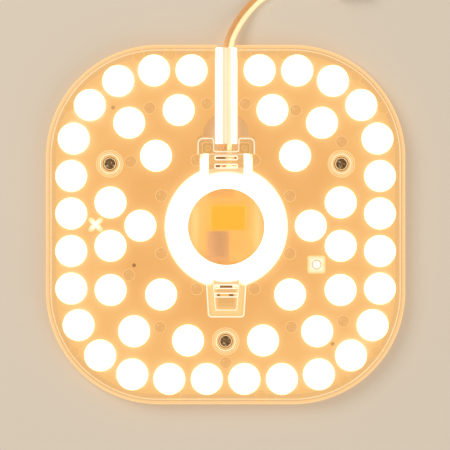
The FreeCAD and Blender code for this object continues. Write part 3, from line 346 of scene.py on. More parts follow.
def lit_solid(name, low_code, high_code, strength, grain_mm=5.0, roughness=0.5):
    """A matt piece under the cover, coloured by the light that reaches it."""
    made, tree = new_material(name)
    colour = shade(tree, mottle(tree, grain_mm), low_code, high_code)
    finish_material(tree, principled(tree, linear("#6A4A22"), roughness, colour, strength))
    return made


def plated_metal(name, code, roughness):
    """Turned or pressed metal, bare or plated: its plain colour, with fine wear in its gloss."""
    made, tree = new_material(name)
    rough = sum_of(tree, mottle(tree, 0.6), 0.2, roughness)
    finish_material(tree, principled(tree, linear(code), rough, linear("#000000"), 0.0, Metallic=1.0))
    return made


def screw_with_painted_glints():
    """Zinc-plated screw head in a dark well: painted shade in brown, with painted glints of the lenses."""
    made, tree = new_material("steel_zinc_plated")
    glint = ramp(
        tree, mottle(tree, 1.1), (0.45, "#3A240E"), (0.56, "#6E4A20"), (0.62, "#E9C890"), (0.7, "#FFF2D2")
    )
    finish_material(tree, principled(tree, linear("#6A4E2C"), 0.35, glint, 0.45, Metallic=1.0))
    return made


def plain_plastic(name, low_code, high_code, roughness=0.45, grain_mm=0.5, glow=0.0):
    """Moulded or extruded plastic with a faint cloud in its colour and a fine skin."""
    made, tree = new_material(name)
    colour = shade(tree, mottle(tree, grain_mm * 8), low_code, high_code)
    body = principled(tree, colour, roughness, colour, glow, IOR=1.5, Normal=grain(tree, grain_mm, 0.01))
    finish_material(tree, body)
    return made


# Surfaces worked out as arrays


def put(name, verts, faces, materials, face_slots=None, smooth=True, **attributes):
    """Makes an object of arrays, gives it its materials and lets it ride on the part."""
    mesh = bpy.data.meshes.new(name)
    mesh.from_pydata(np.reshape(verts, (-1, 3)).tolist(), [], [list(face) for face in faces])
    for key, values in attributes.items():
        layer = mesh.attributes.new(key, "FLOAT", "POINT")
        layer.data.foreach_set("value", np.ascontiguousarray(values, dtype=np.float32))
    for material in materials:
        mesh.materials.append(material)
    if face_slots is not None:
        mesh.polygons.foreach_set("material_index", np.ascontiguousarray(face_slots, dtype=np.int32))
    mesh.polygons.foreach_set("use_smooth", np.full(len(mesh.polygons), smooth))
    mesh.update()
    made = bpy.data.objects.new(name, mesh)
    bpy.context.scene.collection.objects.link(made)
    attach(made, "root")
    return made


def quads(rows, columns, closed_rows, closed_columns):
    """Corner numbers of a grid's quads, counted row by row, with the last joined to the first where closed."""
    row = np.arange(rows if closed_rows else rows - 1)
    column = np.arange(columns if closed_columns else columns - 1)
    r, c = np.meshgrid(row, column, indexing="ij")
    after_r, after_c = (r + 1) % rows, (c + 1) % columns
    corners = [r * columns + c, r * columns + after_c, after_r * columns + after_c, after_r * columns + c]
    return np.stack([corner.ravel() for corner in corners], axis=1)


def grid_surface(name, points, materials, closed_rows=False, closed_columns=False, **extra):
    """A surface from its points in rows and columns."""
    faces = quads(*points.shape[:2], closed_rows, closed_columns)
    return put(name, points, faces, materials, **extra)


def turned_points(profile, places, steps):
    """Profile of radius and height turned about an upright axis at each place: x = px + r cos a and
    y = py + r sin a."""
    angle = np.linspace(0, 2 * math.pi, steps, endpoint=False)
    radius, height = np.array(profile).T
    x = places[:, 0, None, None] + radius[None, :, None] * np.cos(angle)
    y = places[:, 1, None, None] + radius[None, :, None] * np.sin(angle)
    z = np.broadcast_to(height[None, :, None], x.shape)
    return np.stack([x, y, z], axis=-1)


def turned(name, profile, places, materials, steps=48, closed=False, **attributes):
    """Turned pieces at several places as one mesh; the first and last rings of an open profile are filled."""
    points = turned_points(profile, places, steps)
    count, rows, columns = points.shape[:3]
    stride = rows * columns
    start = np.arange(count)[:, None] * stride
    faces = [*(quads(rows, columns, closed, True)[None] + start[:, :, None]).reshape(-1, 4)]
    if not closed:
        ring = np.arange(columns)
        faces += [*(start + ring[::-1]), *(start + stride - columns + ring)]
    values = {
        key: np.broadcast_to(np.array(value)[None, :, None], (count, rows, columns)).ravel()
        for key, value in attributes.items()
    }
    return put(name, points, faces, materials, **values)


def rounded_square_reach(angle, half, radius):
    """Way from the middle of a rounded square to its outline at an angle: half over the larger of |cos| and
    |sin| on a flat side, and the far root of the line's meeting with the corner's circle on a corner."""
    major = np.maximum(abs(np.cos(angle)), abs(np.sin(angle)))
    minor = np.minimum(abs(np.cos(angle)), abs(np.sin(angle)))
    corner = half - radius
    flat = half / major
    both = corner * (major + minor)
    inner = both**2 - (2 * corner**2 - radius**2)
    bend = both + np.sqrt(np.maximum(inner, 0))
    return np.where(minor * flat <= corner, flat, bend)


def rounded_square_ring(angle, half, radius):
    """Points of that outline."""
    reach = rounded_square_reach(angle, half, radius)
    return np.stack([reach * np.cos(angle), reach * np.sin(angle)], axis=-1)


def inset(corners, distance):
    """A polygon's corners moved in: each edge is shifted along its normal and met with the next."""
    corners = np.array(corners, float)
    edge = np.roll(corners, -1, axis=0) - corners
    edge /= np.linalg.norm(edge, axis=1)[:, None]
    normal = np.stack([-edge[:, 1], edge[:, 0]], axis=1)
    before, before_normal = np.roll(edge, 1, axis=0), np.roll(normal, 1, axis=0)
    turn = before[:, 0] * edge[:, 1] - before[:, 1] * edge[:, 0]
    gap = normal - before_normal
    along = (gap[:, 0] * edge[:, 1] - gap[:, 1] * edge[:, 0]) / turn
    return corners + distance * (before_normal + before * along[:, None])


def rounded(corners, radius, steps=6):
    """A convex polygon with round corners: at each corner an arc of that radius, tangent to both edges."""
    corners = np.array(corners, float)
    back = np.roll(corners, 1, axis=0) - corners
    ahead = np.roll(corners, -1, axis=0) - corners
    back /= np.linalg.norm(back, axis=1)[:, None]
    ahead /= np.linalg.norm(ahead, axis=1)[:, None]
    half_angle = np.arccos(np.clip((back * ahead).sum(axis=1), -1, 1)) / 2
    middle = back + ahead
    middle /= np.linalg.norm(middle, axis=1)[:, None]
    centre = corners + middle * (radius / np.sin(half_angle))[:, None]
    start = np.arctan2(*(corners + back * (radius / np.tan(half_angle))[:, None] - centre).T[::-1])
    end = np.arctan2(*(corners + ahead * (radius / np.tan(half_angle))[:, None] - centre).T[::-1])
    sweep = (end - start + math.pi) % (2 * math.pi) - math.pi
    angle = start[:, None] + sweep[:, None] * np.linspace(0, 1, steps)[None]
    points = centre[:, None] + radius * np.stack([np.cos(angle), np.sin(angle)], axis=-1)
    return points.reshape(-1, 2)


def at_height(outline, height):
    """Outline points lifted to a height."""
    return np.concatenate([outline, np.full((*outline.shape[:-1], 1), height)], axis=-1)


def bead(points, radius, sides, closed):
    """A thin round bead along a line of points: a ring of sides about each, square to the line there."""
    if closed:
        run = np.roll(points, -1, axis=0) - np.roll(points, 1, axis=0)
    else:
        run = np.gradient(points, axis=0)
    run /= np.linalg.norm(run, axis=1)[:, None]
    side = np.cross(run, [0.0, 0.0, 1.0])
    side /= np.linalg.norm(side, axis=1)[:, None]
    up = np.cross(side, run)
    angle = np.linspace(0, 2 * math.pi, sides, endpoint=False)
    ring = np.cos(angle)[None, :, None] * side[:, None] + np.sin(angle)[None, :, None] * up[:, None]
    return points[:, None] + radius * ring


def beads(name, outlines, radius, material, sides=6):
    """Several beads as one piece; each outline is its points and whether it closes."""
    verts, faces, first = [], [], 0
    for points, closed in outlines:
        ring = bead(points, radius, sides, closed)
        rows, columns = ring.shape[:2]
        verts.append(ring.reshape(-1, 3))
        faces += [*(quads(rows, columns, closed, True) + first)]
        if not closed:
            end = first + np.arange(columns)
            faces += [end[::-1], end + (rows - 1) * columns]
        first += rows * columns
    return put(name, np.concatenate(verts), faces, [material])


def wall_band(name, low, high, low_z, high_z, wall, radius, materials, steps=9):
    """A leaning wall round a polygon: out from foot to roof, over the top, in again and back to the foot.
    Points are (1 - t) of the foot's outline plus t of the roof's, at the height that t gives."""
    share = np.linspace(0, 1, steps)
    outer_low, outer_high = rounded(low, radius), rounded(high, radius)
    inner_low, inner_high = rounded(inset(low, wall), radius * 0.5), rounded(inset(high, wall), radius * 0.5)
    level = low_z + share * (high_z - low_z)
    steps_up = list(zip(share, level))
    outer = [at_height((1 - t) * outer_low + t * outer_high, z) for t, z in steps_up]
    inner = [at_height((1 - t) * inner_low + t * inner_high, z) for t, z in steps_up[::-1]]
    points = np.stack(outer + inner)
    rise = np.repeat(np.concatenate([share, share[::-1]]), points.shape[1])
    return grid_surface(name, points, materials, closed_rows=True, closed_columns=True, rise=rise)


def sheet_with_windows(name, across, along, keep, level, thickness, outline, materials):
    """A level sheet on lines across and along: point (i, j) lies at the i-th line across, and a cell is left
    out where keep says so. Its sides follow outline, which gives the sheet's half width at each y."""
    x, y = np.meshgrid(across, along, indexing="ij")
    x = SPINE + x * outline(y)
    points = np.stack([x, y, np.full_like(x, level - thickness / 2)], axis=-1)
    columns = len(along)
    cell = np.argwhere(keep)
    start = cell[:, 0] * columns + cell[:, 1]
    faces = np.stack([start, start + columns, start + columns + 1, start + 1], axis=1)
    made = put(name, points, faces, materials, smooth=False)
    solid = made.modifiers.new("thickness", "SOLIDIFY")
    solid.thickness = thickness
    solid.offset = 0
    return made


# Places


def outer_places():
    """Middles of the outer lenses on a rounded square, by their way along it from its low middle, and their
    mirrors: along the low side, round a corner, up the side, round the next corner and back along the top."""
    half, turn, count = HALF - LENS_PATH_INSET, LENS_PATH_RADIUS, LENSES_PER_SIDE
    run, bend = half - turn, turn * math.pi / 2
    way = (4 * run + 2 * bend - LEAD_GAP) / count * (np.arange(count) + 0.5)
    first, second = (way - run) / turn, (way - 3 * run - bend) / turn
    stretch = [way <= run, way <= run + bend, way <= 3 * run + bend, way <= 3 * run + 2 * bend]
    side, back = np.full(count, half), 4 * run + 2 * bend - way
    x = np.select(stretch, [way, run + turn * np.sin(first), side, run + turn * np.cos(second)], back)
    up = way - 2 * run - bend
    y = np.select(stretch, [-side, -run - turn * np.cos(first), up, run + turn * np.sin(second)], half)
    right = np.stack([x, y], axis=1)
    return np.concatenate([right, right * [-1, 1]])


# Middles of the inner lenses on the right, as shares of the cover's half width; each has a mirror on the left.
INNER_RIGHT = HALF * np.array([
    (0.260, 0.636), (0.535, 0.565), (0.386, 0.382), (0.639, 0.123), (0.473, -0.006),
    (0.639, -0.118), (0.638, -0.363), (0.358, -0.388), (0.508, -0.592), (0.208, -0.643),
])
LENSES = np.concatenate([outer_places(), INNER_RIGHT, INNER_RIGHT * [-1, 1]])

# Support pads away from the ring round the dome, and small holes of the board, in the same shares
FREE_PADS = HALF * np.array([
    (-0.422, 0.648), (0.391, 0.636), (-0.528, 0.350), (0.645, 0.459), (0.110, 0.671), (-0.103, 0.671),
    (-0.538, -0.279), (0.365, -0.569), (-0.365, -0.569), (0.654, -0.537), (0.0, -0.766),
])
SMALL_HOLES = HALF * np.array([(-0.509, -0.226), (-0.625, 0.651), (0.595, -0.663)])

# Pads that stand half beyond the board's edge, as angles about the middle in degrees
EDGE_PADS = [143.1, 117.3, 107.9, 96.1, 83.6, 71.5, 48.7, 36.4, 219.9, 253.5, 281.8, 307.4, 320.0]


def pad_places():
    """Eight pads on a ring, each 24.2 degrees off an axis, and the free ones."""
    base, swing = np.radians(np.arange(4) * 90.0), math.radians(24.2)
    angle = np.concatenate([base + swing, base - swing])
    ring = PAD_RING * np.stack([np.cos(angle), np.sin(angle)], axis=1)
    return np.concatenate([ring, FREE_PADS])


def edge_pad_places():
    """Pads on the board's edge: its rounded outline at their angles."""
    return rounded_square_ring(np.radians(EDGE_PADS), HALF - 4.4 * MM, 52.1 * MM)


def dome_radius_at(height):
    """Outside of the dome's round side at a height: the root of the sphere's radius squared, less the square of
    the way up from its centre."""
    return np.sqrt(np.maximum(DOME_RADIUS**2 - (np.asarray(height) - DOME_CENTRE_Z) ** 2, 0))


# Operators, one for each piece or group of like pieces


class LEDMODULE_OT_stage(bpy.types.Operator):
    """Pale floor, soft light and a camera straight above the plate"""

    bl_idname = "ledmodule.stage"
    bl_label = "Stage"

    def execute(self, context):
        settings = context.scene.led_stage
        scene = context.scene
        scene.view_settings.view_transform = "Standard"
        camera = bpy.data.objects.new("camera", bpy.data.cameras.new("camera"))
        camera.location = (-0.3 * MM, -0.2 * MM, PLATE_FACE + settings.camera_height)
        camera.data.angle = 2 * math.atan(settings.frame_width / 2 / settings.camera_height)
        camera.data.clip_start = 0.01
        scene.collection.objects.link(camera)
        scene.camera = camera
        reach = 3.0
        floor_mesh = bpy.data.meshes.new("floor")
        corners = [(-reach, -reach, 0), (reach, -reach, 0), (reach, reach, 0), (-reach, reach, 0)]
        floor_mesh.from_pydata(corners, [], [(0, 1, 2, 3)])
        made, tree = new_material("painted_board_floor")
        paint = add(tree, "ShaderNodeBsdfPrincipled", Base_Color=tuple(settings.floor), Roughness=0.75)
        finish_material(tree, paint.outputs[0])
        floor_mesh.materials.append(made)
        floor = bpy.data.objects.new("floor", floor_mesh)
        scene.collection.objects.link(floor)
        bloom(scene, context.scene.led_glow.halo)
        world = bpy.data.worlds.new("soft_room")
        world.use_nodes = True
        background = world.node_tree.nodes["Background"]
        background.inputs["Color"].default_value = linear("#FFF8EE")
        background.inputs["Strength"].default_value = 0.55
        scene.world = world
        for name, place, size, share in (
            ("key", (-0.9, 0.7, 1.2), 0.9, 1.0),
            ("fill", (1.0, -0.8, 1.0), 1.1, 0.5),
        ):
            data = bpy.data.lights.new(name, "AREA")
            data.size = size
            data.energy = settings.key * share
            data.color = linear("#FFF3E2")[:3]
            lamp = bpy.data.objects.new(name, data)
            lamp.location = place
            lamp.rotation_euler = (-Vector(place)).to_track_quat("-Z", "Y").to_euler()
            scene.collection.objects.link(lamp)
        return {"FINISHED"}


def bloom(scene, share):
    """Soft halo that a lens adds round overexposed parts, mixed over the picture by its share."""
    scene.use_nodes = True
    tree = scene.node_tree
    tree.nodes.clear()
    picture = tree.nodes.new("CompositorNodeRLayers").outputs["Image"]
    glare = add(tree, "CompositorNodeGlare", {"glare_type": "BLOOM", "quality": "HIGH"}, Image=picture)
    glare.inputs["Threshold"].default_value = 0.95
    glare.inputs["Strength"].default_value = share
    glare.inputs["Size"].default_value = 0.35
    output = tree.nodes.new("CompositorNodeComposite")
    tree.links.new(glare.outputs["Image"], output.inputs["Image"])


# Points of the line midway between the wires, in millimetres, as in the part's source
LEAD_POINTS = [
    (0.4, 28.0, 11.05), (0.5, 35.6, 10.9), (0.9, 43.6, 8.8), (1.3, 53.0, 8.0), (0.9, 65.0, 7.9),
    (0.8, 77.5, 8.0), (1.2, 90.2, 8.1), (4.7, 98.6, 5.7), (10.3, 107.0, 2.7), (17.4, 114.4, 1.5),
    (27.0, 119.6, 1.3), (38.0, 121.6, 1.6), (49.0, 121.2, 2.6), (59.0, 121.2, 2.9),
]
WIRE_DIAMETER = 2.4 * MM
WIRE_SPACING = 2.55 * MM
CONNECTOR_PITCH = 4.6 * MM


def beside(side):
    """Points of one wire: half the spacing across the line's run, and the last two at their pole of the
    connector."""
    points = np.array(LEAD_POINTS) * MM
    run = np.gradient(points[:, :2], axis=0)
    run /= np.linalg.norm(run, axis=1)[:, None]
    moved = points.copy()
    moved[:, 0] += side * WIRE_SPACING / 2 * run[:, 1]
    moved[:, 1] -= side * WIRE_SPACING / 2 * run[:, 0]
    moved[-2:, 0] = points[-2:, 0]
    moved[-2:, 1] = points[-2:, 1] - side * CONNECTOR_PITCH / 2
    return moved


class LEDMODULE_OT_supply_lead(bpy.types.Operator):
    """Two wires from the driver through the tunnel to the connector"""

    bl_idname = "ledmodule.supply_lead"
    bl_label = "Supply lead"

    def execute(self, context):
        # Both wires glow with painted LED light; the left one is painted darker, and glows less, for the shade
        # of the right one
        tan = plain_plastic("pvc_wire_shaded", "#C98F52", "#D9A468", 0.35, 0.4, 0.25)
        cream = plain_plastic("pvc_wire_lit", "#F3DDA6", "#FFEFC4", 0.35, 0.4, 0.4)
        wires = (("lead_wire_left", -1, tan, 0.1375), ("lead_wire_right", 1, cream, 0.1336))
        for n, (node, side, material, length) in enumerate(wires):
            route = beside(side)
            curve = bpy.data.curves.new(f"{node}_tube", "CURVE")
            curve.dimensions = "3D"
            curve.bevel_depth = WIRE_DIAMETER / 2
            curve.bevel_resolution = 5
            curve.resolution_u = 12
            curve.use_fill_caps = True
            line = curve.splines.new("NURBS")
            line.points.add(len(route) - 1)
            weights = np.ones((len(route), 1))
            line.points.foreach_set("co", np.concatenate([route, weights], axis=1).ravel())
            line.order_u = 3
            line.use_endpoint_u = True
            curve.materials.append(material)
            tube = bpy.data.objects.new(f"{node}_tube", curve)
            context.scene.collection.objects.link(tube)
            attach(tube, "root")
            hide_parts(node)
        return {"FINISHED"}


class LEDMODULE_OT_cover_shell(bpy.types.Operator):
    """Lens plate with its skirt, open where the lead tunnel runs"""

    bl_idname = "ledmodule.cover_shell"
    bl_label = "Plate and skirt"

    def execute(self, context):
        steps, rings = 340, 14
        opening = 4.3 * MM
        wall, lean, bevel = 1.4 * MM, 1.7 * MM, 0.8 * MM
        corner = 56.5 * MM
        profile = [(HALF - lean - bevel, corner - lean - bevel, PLATE_FACE)]
        profile.append((HALF - lean - 0.3 * bevel, corner - lean - 0.3 * bevel, PLATE_FACE - 0.3 * bevel))
        profile.append((HALF - lean, corner - lean, PLATE_FACE - bevel))
        profile.append((HALF - 0.5 * lean, corner - 0.5 * lean, (PLATE_FACE - bevel + SKIRT_FOOT) / 2))
        profile.append((HALF, corner, SKIRT_FOOT))
        profile.append((HALF - wall, corner - wall, SKIRT_FOOT))
        profile.append((HALF - wall - lean, corner - wall - lean, PLATE_BACK))
        angle = np.linspace(0, 2 * math.pi, 4096)
        share = np.linspace(0, 1, rings)
        inner = dome_radius_at(PLATE_FACE)
        circle = np.stack([SPINE + inner * np.cos(angle), DOME_Y + inner * np.sin(angle)], axis=-1)

        def row(outline, blend, height):
            """A ring between dome and outline, from one side of the lead's notch round to the other."""
            ring = (1 - blend) * circle + blend * outline
            ends = []
            for side in (1, -1):
                near = (ring[:, 1] > 0) & (side * (ring[:, 0] - SPINE) > 0)
                ends.append(np.interp(-(SPINE + side * opening), -ring[near, 0], angle[near]))
            right, left = ends
            way = left + (right + 2 * math.pi - left) * np.linspace(0, 1, steps)
            x = np.interp(way % (2 * math.pi), angle, ring[:, 0])
            y = np.interp(way % (2 * math.pi), angle, ring[:, 1])
            return np.stack([x, y, np.full(steps, height)], axis=-1)

        shoulder = rounded_square_ring(angle, *profile[0][:2])
        inside = rounded_square_ring(angle, *profile[-1][:2])
        rows = [row(shoulder, t, PLATE_FACE) for t in share]
        for half, radius, height in profile[1:-1]:
            rows.append(row(rounded_square_ring(angle, half, radius), 1.0, height))
        rows += [row(inside, t, PLATE_BACK) for t in share[::-1]]
        points = np.stack(rows)
        plate = clear_sheet("polycarbonate_plate_clear", "#FFC98A", 0.08, 0.8)
        skirt = clear_sheet("polycarbonate_skirt_clear", "#EFBB79", 0.8, 0.92, 0.2)
        rim_clear = clear_sheet("polycarbonate_rim_clear", "#F5BE74", 0.6, 0.92)
        faces = quads(points.shape[0], steps, True, False)
        slots = np.repeat(np.arange(points.shape[0]), steps - 1)
        is_skirt = (slots >= rings) & (slots < rings + 4)
        start = np.arange(points.shape[0]) * steps
        all_faces = [*faces, start, start[::-1] + steps - 1]
        places = np.concatenate([np.select([is_skirt, slots == rings - 2], [1, 2], 0), [0, 0]])
        shell = put("cover_shell", points, all_faces, [plate, skirt, rim_clear], places)
        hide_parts("lens_cover")
        edge = context.scene.led_cover.edge
        bright = lit_edge("polycarbonate_edge_bright", "#FFD9A0", 0.9)
        lines = [points[rings - 1], points[rings + 3] + [0, 0, edge]]
        lines = [(line - edge * 0.9 * outward(line), False) for line in lines]
        rim = beads("cover_rim_lines", lines, edge, bright)
        return {"FINISHED"}


def outward(line):
    """Level unit directions from the middle to each point of a line."""
    away = line * [1, 1, 0]
    return away / np.linalg.norm(away, axis=1)[:, None]


class LEDMODULE_OT_lenses(bpy.types.Operator):
    """One domed lens over each LED"""

    bl_idname = "ledmodule.lenses"
    bl_label = "Lenses"

    def execute(self, context):
        settings = context.scene.led_cover
        foot, crown = settings.lens_diameter / 2, settings.lens_crown
        sphere = (foot**2 + crown**2) / (2 * crown)
        across = np.concatenate([[1.0], np.linspace(1.0, 0.0, 13)[:-1], [0.02]])
        height = PLATE_FACE + crown - sphere + np.sqrt(sphere**2 - (across * foot) ** 2)
        height[0] -= 0.4 * MM
        profile = np.stack([across * foot, height], axis=1)
        lenses = turned("lenses", profile, LENSES, [lit_lens()], steps=48, across=across)
        return {"FINISHED"}


class LEDMODULE_OT_dome(bpy.types.Operator):
    """Round side of the driver's dome and its flat window"""

    bl_idname = "ledmodule.dome"
    bl_label = "Dome"

    def execute(self, context):
        shoulder = DOME_TOP - 0.5 * MM
        outside_height = np.linspace(PLATE_BACK, shoulder, 22)
        inside_height = np.linspace(shoulder - 0.8 * MM, PLATE_BACK, 20)
        outside = np.stack([dome_radius_at(outside_height), outside_height], axis=1)
        inside = np.stack([dome_radius_at(inside_height) - DOME_WALL, inside_height], axis=1)
        lip = [(WINDOW_RADIUS - 0.15 * MM, DOME_TOP - 0.12 * MM), (WINDOW_RADIUS - 0.4 * MM, DOME_TOP)]
        seat = [(WINDOW_RADIUS - 0.5 * MM, DOME_TOP), (WINDOW_RADIUS - 0.5 * MM, shoulder - 0.8 * MM)]
        profile = np.concatenate([outside, lip, seat, inside])
        rise = np.clip((profile[:, 1] - PLATE_FACE) / (shoulder - PLATE_FACE), 0, 1)
        centre = np.array([(SPINE, DOME_Y)])
        side = turned("dome_side", profile, centre, [lit_wall()], steps=120, closed=True, rise=rise)
        edge = WINDOW_RADIUS - 0.55 * MM
        glass = [
            (0.02 * MM, DOME_TOP - DOME_WALL), (edge, DOME_TOP - DOME_WALL), (edge, DOME_TOP - 0.25 * MM),
            (edge - 0.2 * MM, DOME_TOP - 0.05 * MM), (0.02 * MM, DOME_TOP - 0.05 * MM),
        ]
        window = turned("dome_window", glass, centre, [frosted_window()], steps=96)
        return {"FINISHED"}


def plan(low_half, high_half, low_y, high_y):
    """Four corners about the spine, counter-clockwise, with a half width at each end."""
    across = SPINE + np.array([-low_half, low_half, high_half, -high_half])
    return np.stack([across, [low_y, low_y, high_y, high_y]], axis=1)


def vented_roof(name, low_y, high_y, half_width, vents, level, material):
    """A roof whose cells over each vent are left out."""
    edges = [half_width(v) for v in (low_y, high_y)]
    side = VENT_HALF / np.mean(edges)
    across = np.array([-1.0, -side, side, 1.0])
    slots = sorted(v + s * VENT_WIDTH / 2 for v in vents for s in (-1, 1))
    along = np.array([low_y, *slots, high_y])
    keep = np.ones((3, len(along) - 1), bool)
    keep[1, 1::2] = False
    thickness = 1.3 * MM
    return sheet_with_windows(name, across, along, keep, level, thickness, half_width, [material])


def vent_outline(middle, level):
    """Rounded slot at a vent, lifted to its roof."""
    corners = plan(VENT_HALF, VENT_HALF, middle - VENT_WIDTH / 2, middle + VENT_WIDTH / 2)
    return at_height(rounded(corners, 0.6 * MM, 5), level)


def side_strips(name, low, high, low_z, high_z, wall, materials, steps=9):
    """The two leaning sides of a box without its ends: out along each side from foot to roof and back inside.
    A point is (1 - t) of the foot's corner plus t of the roof's, at the height that t gives."""
    made = []
    share = np.linspace(0, 1, steps)[:, None]
    for side, (near, far) in (("left", (0, 3)), ("right", (1, 2))):
        inward = np.array([wall if side == "left" else -wall, 0.0])
        rows = []
        for corner in (near, far):
            outer = (1 - share) * low[corner] + share * high[corner]
            ring = np.concatenate([outer, outer[::-1] + inward])
            height = low_z + (high_z - low_z) * np.concatenate([share, share[::-1]])
            rows.append(np.concatenate([ring, height], axis=1))
        along = np.linspace(0, 1, 12)[:, None, None]
        points = (1 - along) * rows[0] + along * rows[1]
        columns = points.shape[1]
        faces = quads(len(along), columns, False, True)
        ends = [np.arange(columns)[::-1], (len(along) - 1) * columns + np.arange(columns)]
        if side == "left":
            faces, ends = faces[:, ::-1], [end[::-1] for end in ends]
        rise = np.tile(np.concatenate([share, share[::-1]])[:, 0], len(along))
        made.append(put(f"{name}_{side}", points, [*faces, *ends], materials, rise=rise))
    return made


class LEDMODULE_OT_boxes(bpy.types.Operator):
    """Vented boxes on both sides of the dome, the lead porch and the tunnel"""

    bl_idname = "ledmodule.boxes"
    bl_label = "Boxes and tunnel"

    def execute(self, context):
        wall, edge = context.scene.led_cover.wall, context.scene.led_cover.edge
        glow = lit_wall()
        roof = clear_sheet("polycarbonate_roof_clear", "#EEB76E", 0.66, 0.88)
        walls = clear_sheet("polycarbonate_box_clear", "#FACB86", 0.6, 0.92)
        porch_clear = clear_sheet("polycarbonate_porch_clear", "#EDB468", 0.35, 0.85)
        tunnel_clear = clear_sheet("polycarbonate_tunnel_clear", "#FFE7BE", 0.62, 0.95)
        line = lit_edge("polycarbonate_edge_white", "#FFF4DA", 1.0)
        pieces = []
        upper_low = plan(UPPER_BASE, UPPER_BASE, UPPER_INNER_Y, PORCH_FOOT_Y)
        upper_high = plan(UPPER_ROOF, UPPER_ROOF, UPPER_INNER_Y, PORCH_FOOT_Y)
        pieces += side_strips("upper_box_side", upper_low, upper_high, PLATE_FACE, BOX_ROOF, wall, [glow])
        roof_lap, upper_half = 0.6 * MM, 9.4 * MM
        pieces.append(
            vented_roof(
                "upper_box_roof", UPPER_INNER_Y + roof_lap, PORCH_FOOT_Y, lambda y: upper_half + 0 * y,
                UPPER_VENTS, BOX_ROOF, roof,
            )
        )
        lower_low = plan(LOWER_END_BASE, LOWER_BASE, LOWER_END_Y, LOWER_INNER_Y)
        lower_high = plan(LOWER_END_ROOF, LOWER_ROOF, LOWER_ROOF_END_Y, LOWER_INNER_Y)
        pieces.append(
            wall_band("lower_box_walls", lower_low, lower_high, PLATE_FACE, BOX_ROOF, wall, 1.2 * MM, [walls])
        )
        slope = (LOWER_ROOF - LOWER_END_ROOF) / (LOWER_INNER_Y - LOWER_ROOF_END_Y)
        end_half = LOWER_END_ROOF - 0.5 * MM
        pieces.append(
            vented_roof(
                "lower_box_roof", LOWER_ROOF_END_Y + 0.5 * MM, LOWER_INNER_Y - roof_lap,
                lambda y: end_half + slope * (y - LOWER_ROOF_END_Y), LOWER_VENTS, BOX_ROOF, roof,
            )
        )
        pieces += porch(wall, porch_clear)
        pieces += porch_pockets(porch_clear)
        pieces += tunnel_pieces(wall, glow, tunnel_clear)
        outlines = [(vent_outline(y, BOX_ROOF), True) for y in UPPER_VENTS + LOWER_VENTS]
        outlines.append((at_height(rounded(lower_low, 1.6 * MM), PLATE_FACE + edge), True))
        outlines.append((at_height(rounded(lower_high, 0.9 * MM), BOX_ROOF - edge), True))
        outlines.append((at_height(upper_high[2:] + [[0, -edge], [0, -edge]], BOX_ROOF - edge), False))
        outlines.append((at_height(porch_outline(), PORCH_ROOF - edge), False))
        pieces.append(beads("box_edge_lines", outlines, edge, line))
        pieces.append(vent_shades())
        return {"FINISHED"}


def disc(radius, low, high):
    """Profile of a flat round piece; its middle stays open by a hair, so that its ends can be filled."""
    pole = 0.02 * MM
    return [(pole, low), (radius, low), (radius, high), (pole, high)]


POCKETS = np.array([(SPINE - 9.15 * MM, 38.1 * MM), (SPINE + 9.15 * MM, 38.1 * MM)])


def porch_pockets(clear):
    """Sunk corner pockets of the porch with a round peg in each."""
    level = PORCH_ROOF - 1.4 * MM
    shaded = clear_sheet("polycarbonate_pocket_clear", "#CF9448", 0.7, 0.8)
    around = np.linspace(0, 2 * math.pi, 33)[:-1]
    square = rounded_square_ring(around, 2.7 * MM, 0.8 * MM)
    rim = lit_edge("polycarbonate_peg_rim", "#F0BE7C", 0.9)
    circle = 1.25 * MM * np.stack([np.cos(around), np.sin(around)], axis=1)
    outlines = [(at_height(place + circle, PORCH_ROOF - 0.2 * MM), True) for place in POCKETS]
    outlines += [(at_height(place + square, PORCH_ROOF - 0.2 * MM), True) for place in POCKETS]
    floors = turned("pocket_floors", disc(3.0 * MM, level - 0.5 * MM, level), POCKETS, [shaded], steps=32)
    pegs = turned("pocket_pegs", disc(1.25 * MM, level, PORCH_ROOF), POCKETS, [clear], steps=32)
    return [floors, pegs, beads("pocket_lines", outlines, 0.16 * MM, rim)]


def porch_outline():
    """Edge of the porch's roof as one line: up its left side, round the corner, down into the notch for the
    lead, across the notch's floor and back the same way, mirrored."""
    turn, corner = 1.2 * MM, PORCH_CORNER
    swing = np.linspace(0, math.pi / 2, 8)
    cos, sin = np.cos(swing), np.sin(swing)
    outer = [corner - PORCH_HALF, PORCH_TOP_Y - corner] + corner * np.stack([-cos, sin], axis=1)
    lip = [-NOTCH_HALF - turn, PORCH_TOP_Y - turn] + turn * np.stack([sin, cos], axis=1)
    bed = [-NOTCH_HALF + turn, NOTCH_FLOOR_Y + turn] - turn * np.stack([cos, sin], axis=1)
    left = np.concatenate([[(-PORCH_HALF, PORCH_FOOT_Y)], outer, lip, bed])
    return np.concatenate([left, left[::-1] * [-1, 1]]) + [SPINE, 0]


def porch(wall, clear):
    """Walls of the porch along its outline, and its roof with the notch left out of a grid."""
    line = porch_outline()
    rows = np.stack([at_height(line, height) for height in np.linspace(PLATE_FACE, PORCH_ROOF, 4)])
    walls = grid_surface("porch_walls", rows, [clear])
    solid = walls.modifiers.new("thickness", "SOLIDIFY")
    solid.thickness = wall * 0.6
    half = 13.6 * MM
    across = np.array([-1.0, -NOTCH_HALF / half, NOTCH_HALF / half, 1.0])
    along = np.array([UPPER_VENTS[1], NOTCH_FLOOR_Y, PORCH_TOP_Y - 0.4 * MM])
    keep = np.array([[True, True], [True, False], [True, True]])
    roof = sheet_with_windows(
        "porch_roof", across, along, keep, PORCH_ROOF - 0.4 * MM, 0.6 * MM, lambda y: half + 0 * y, [clear]
    )
    return [walls, roof]
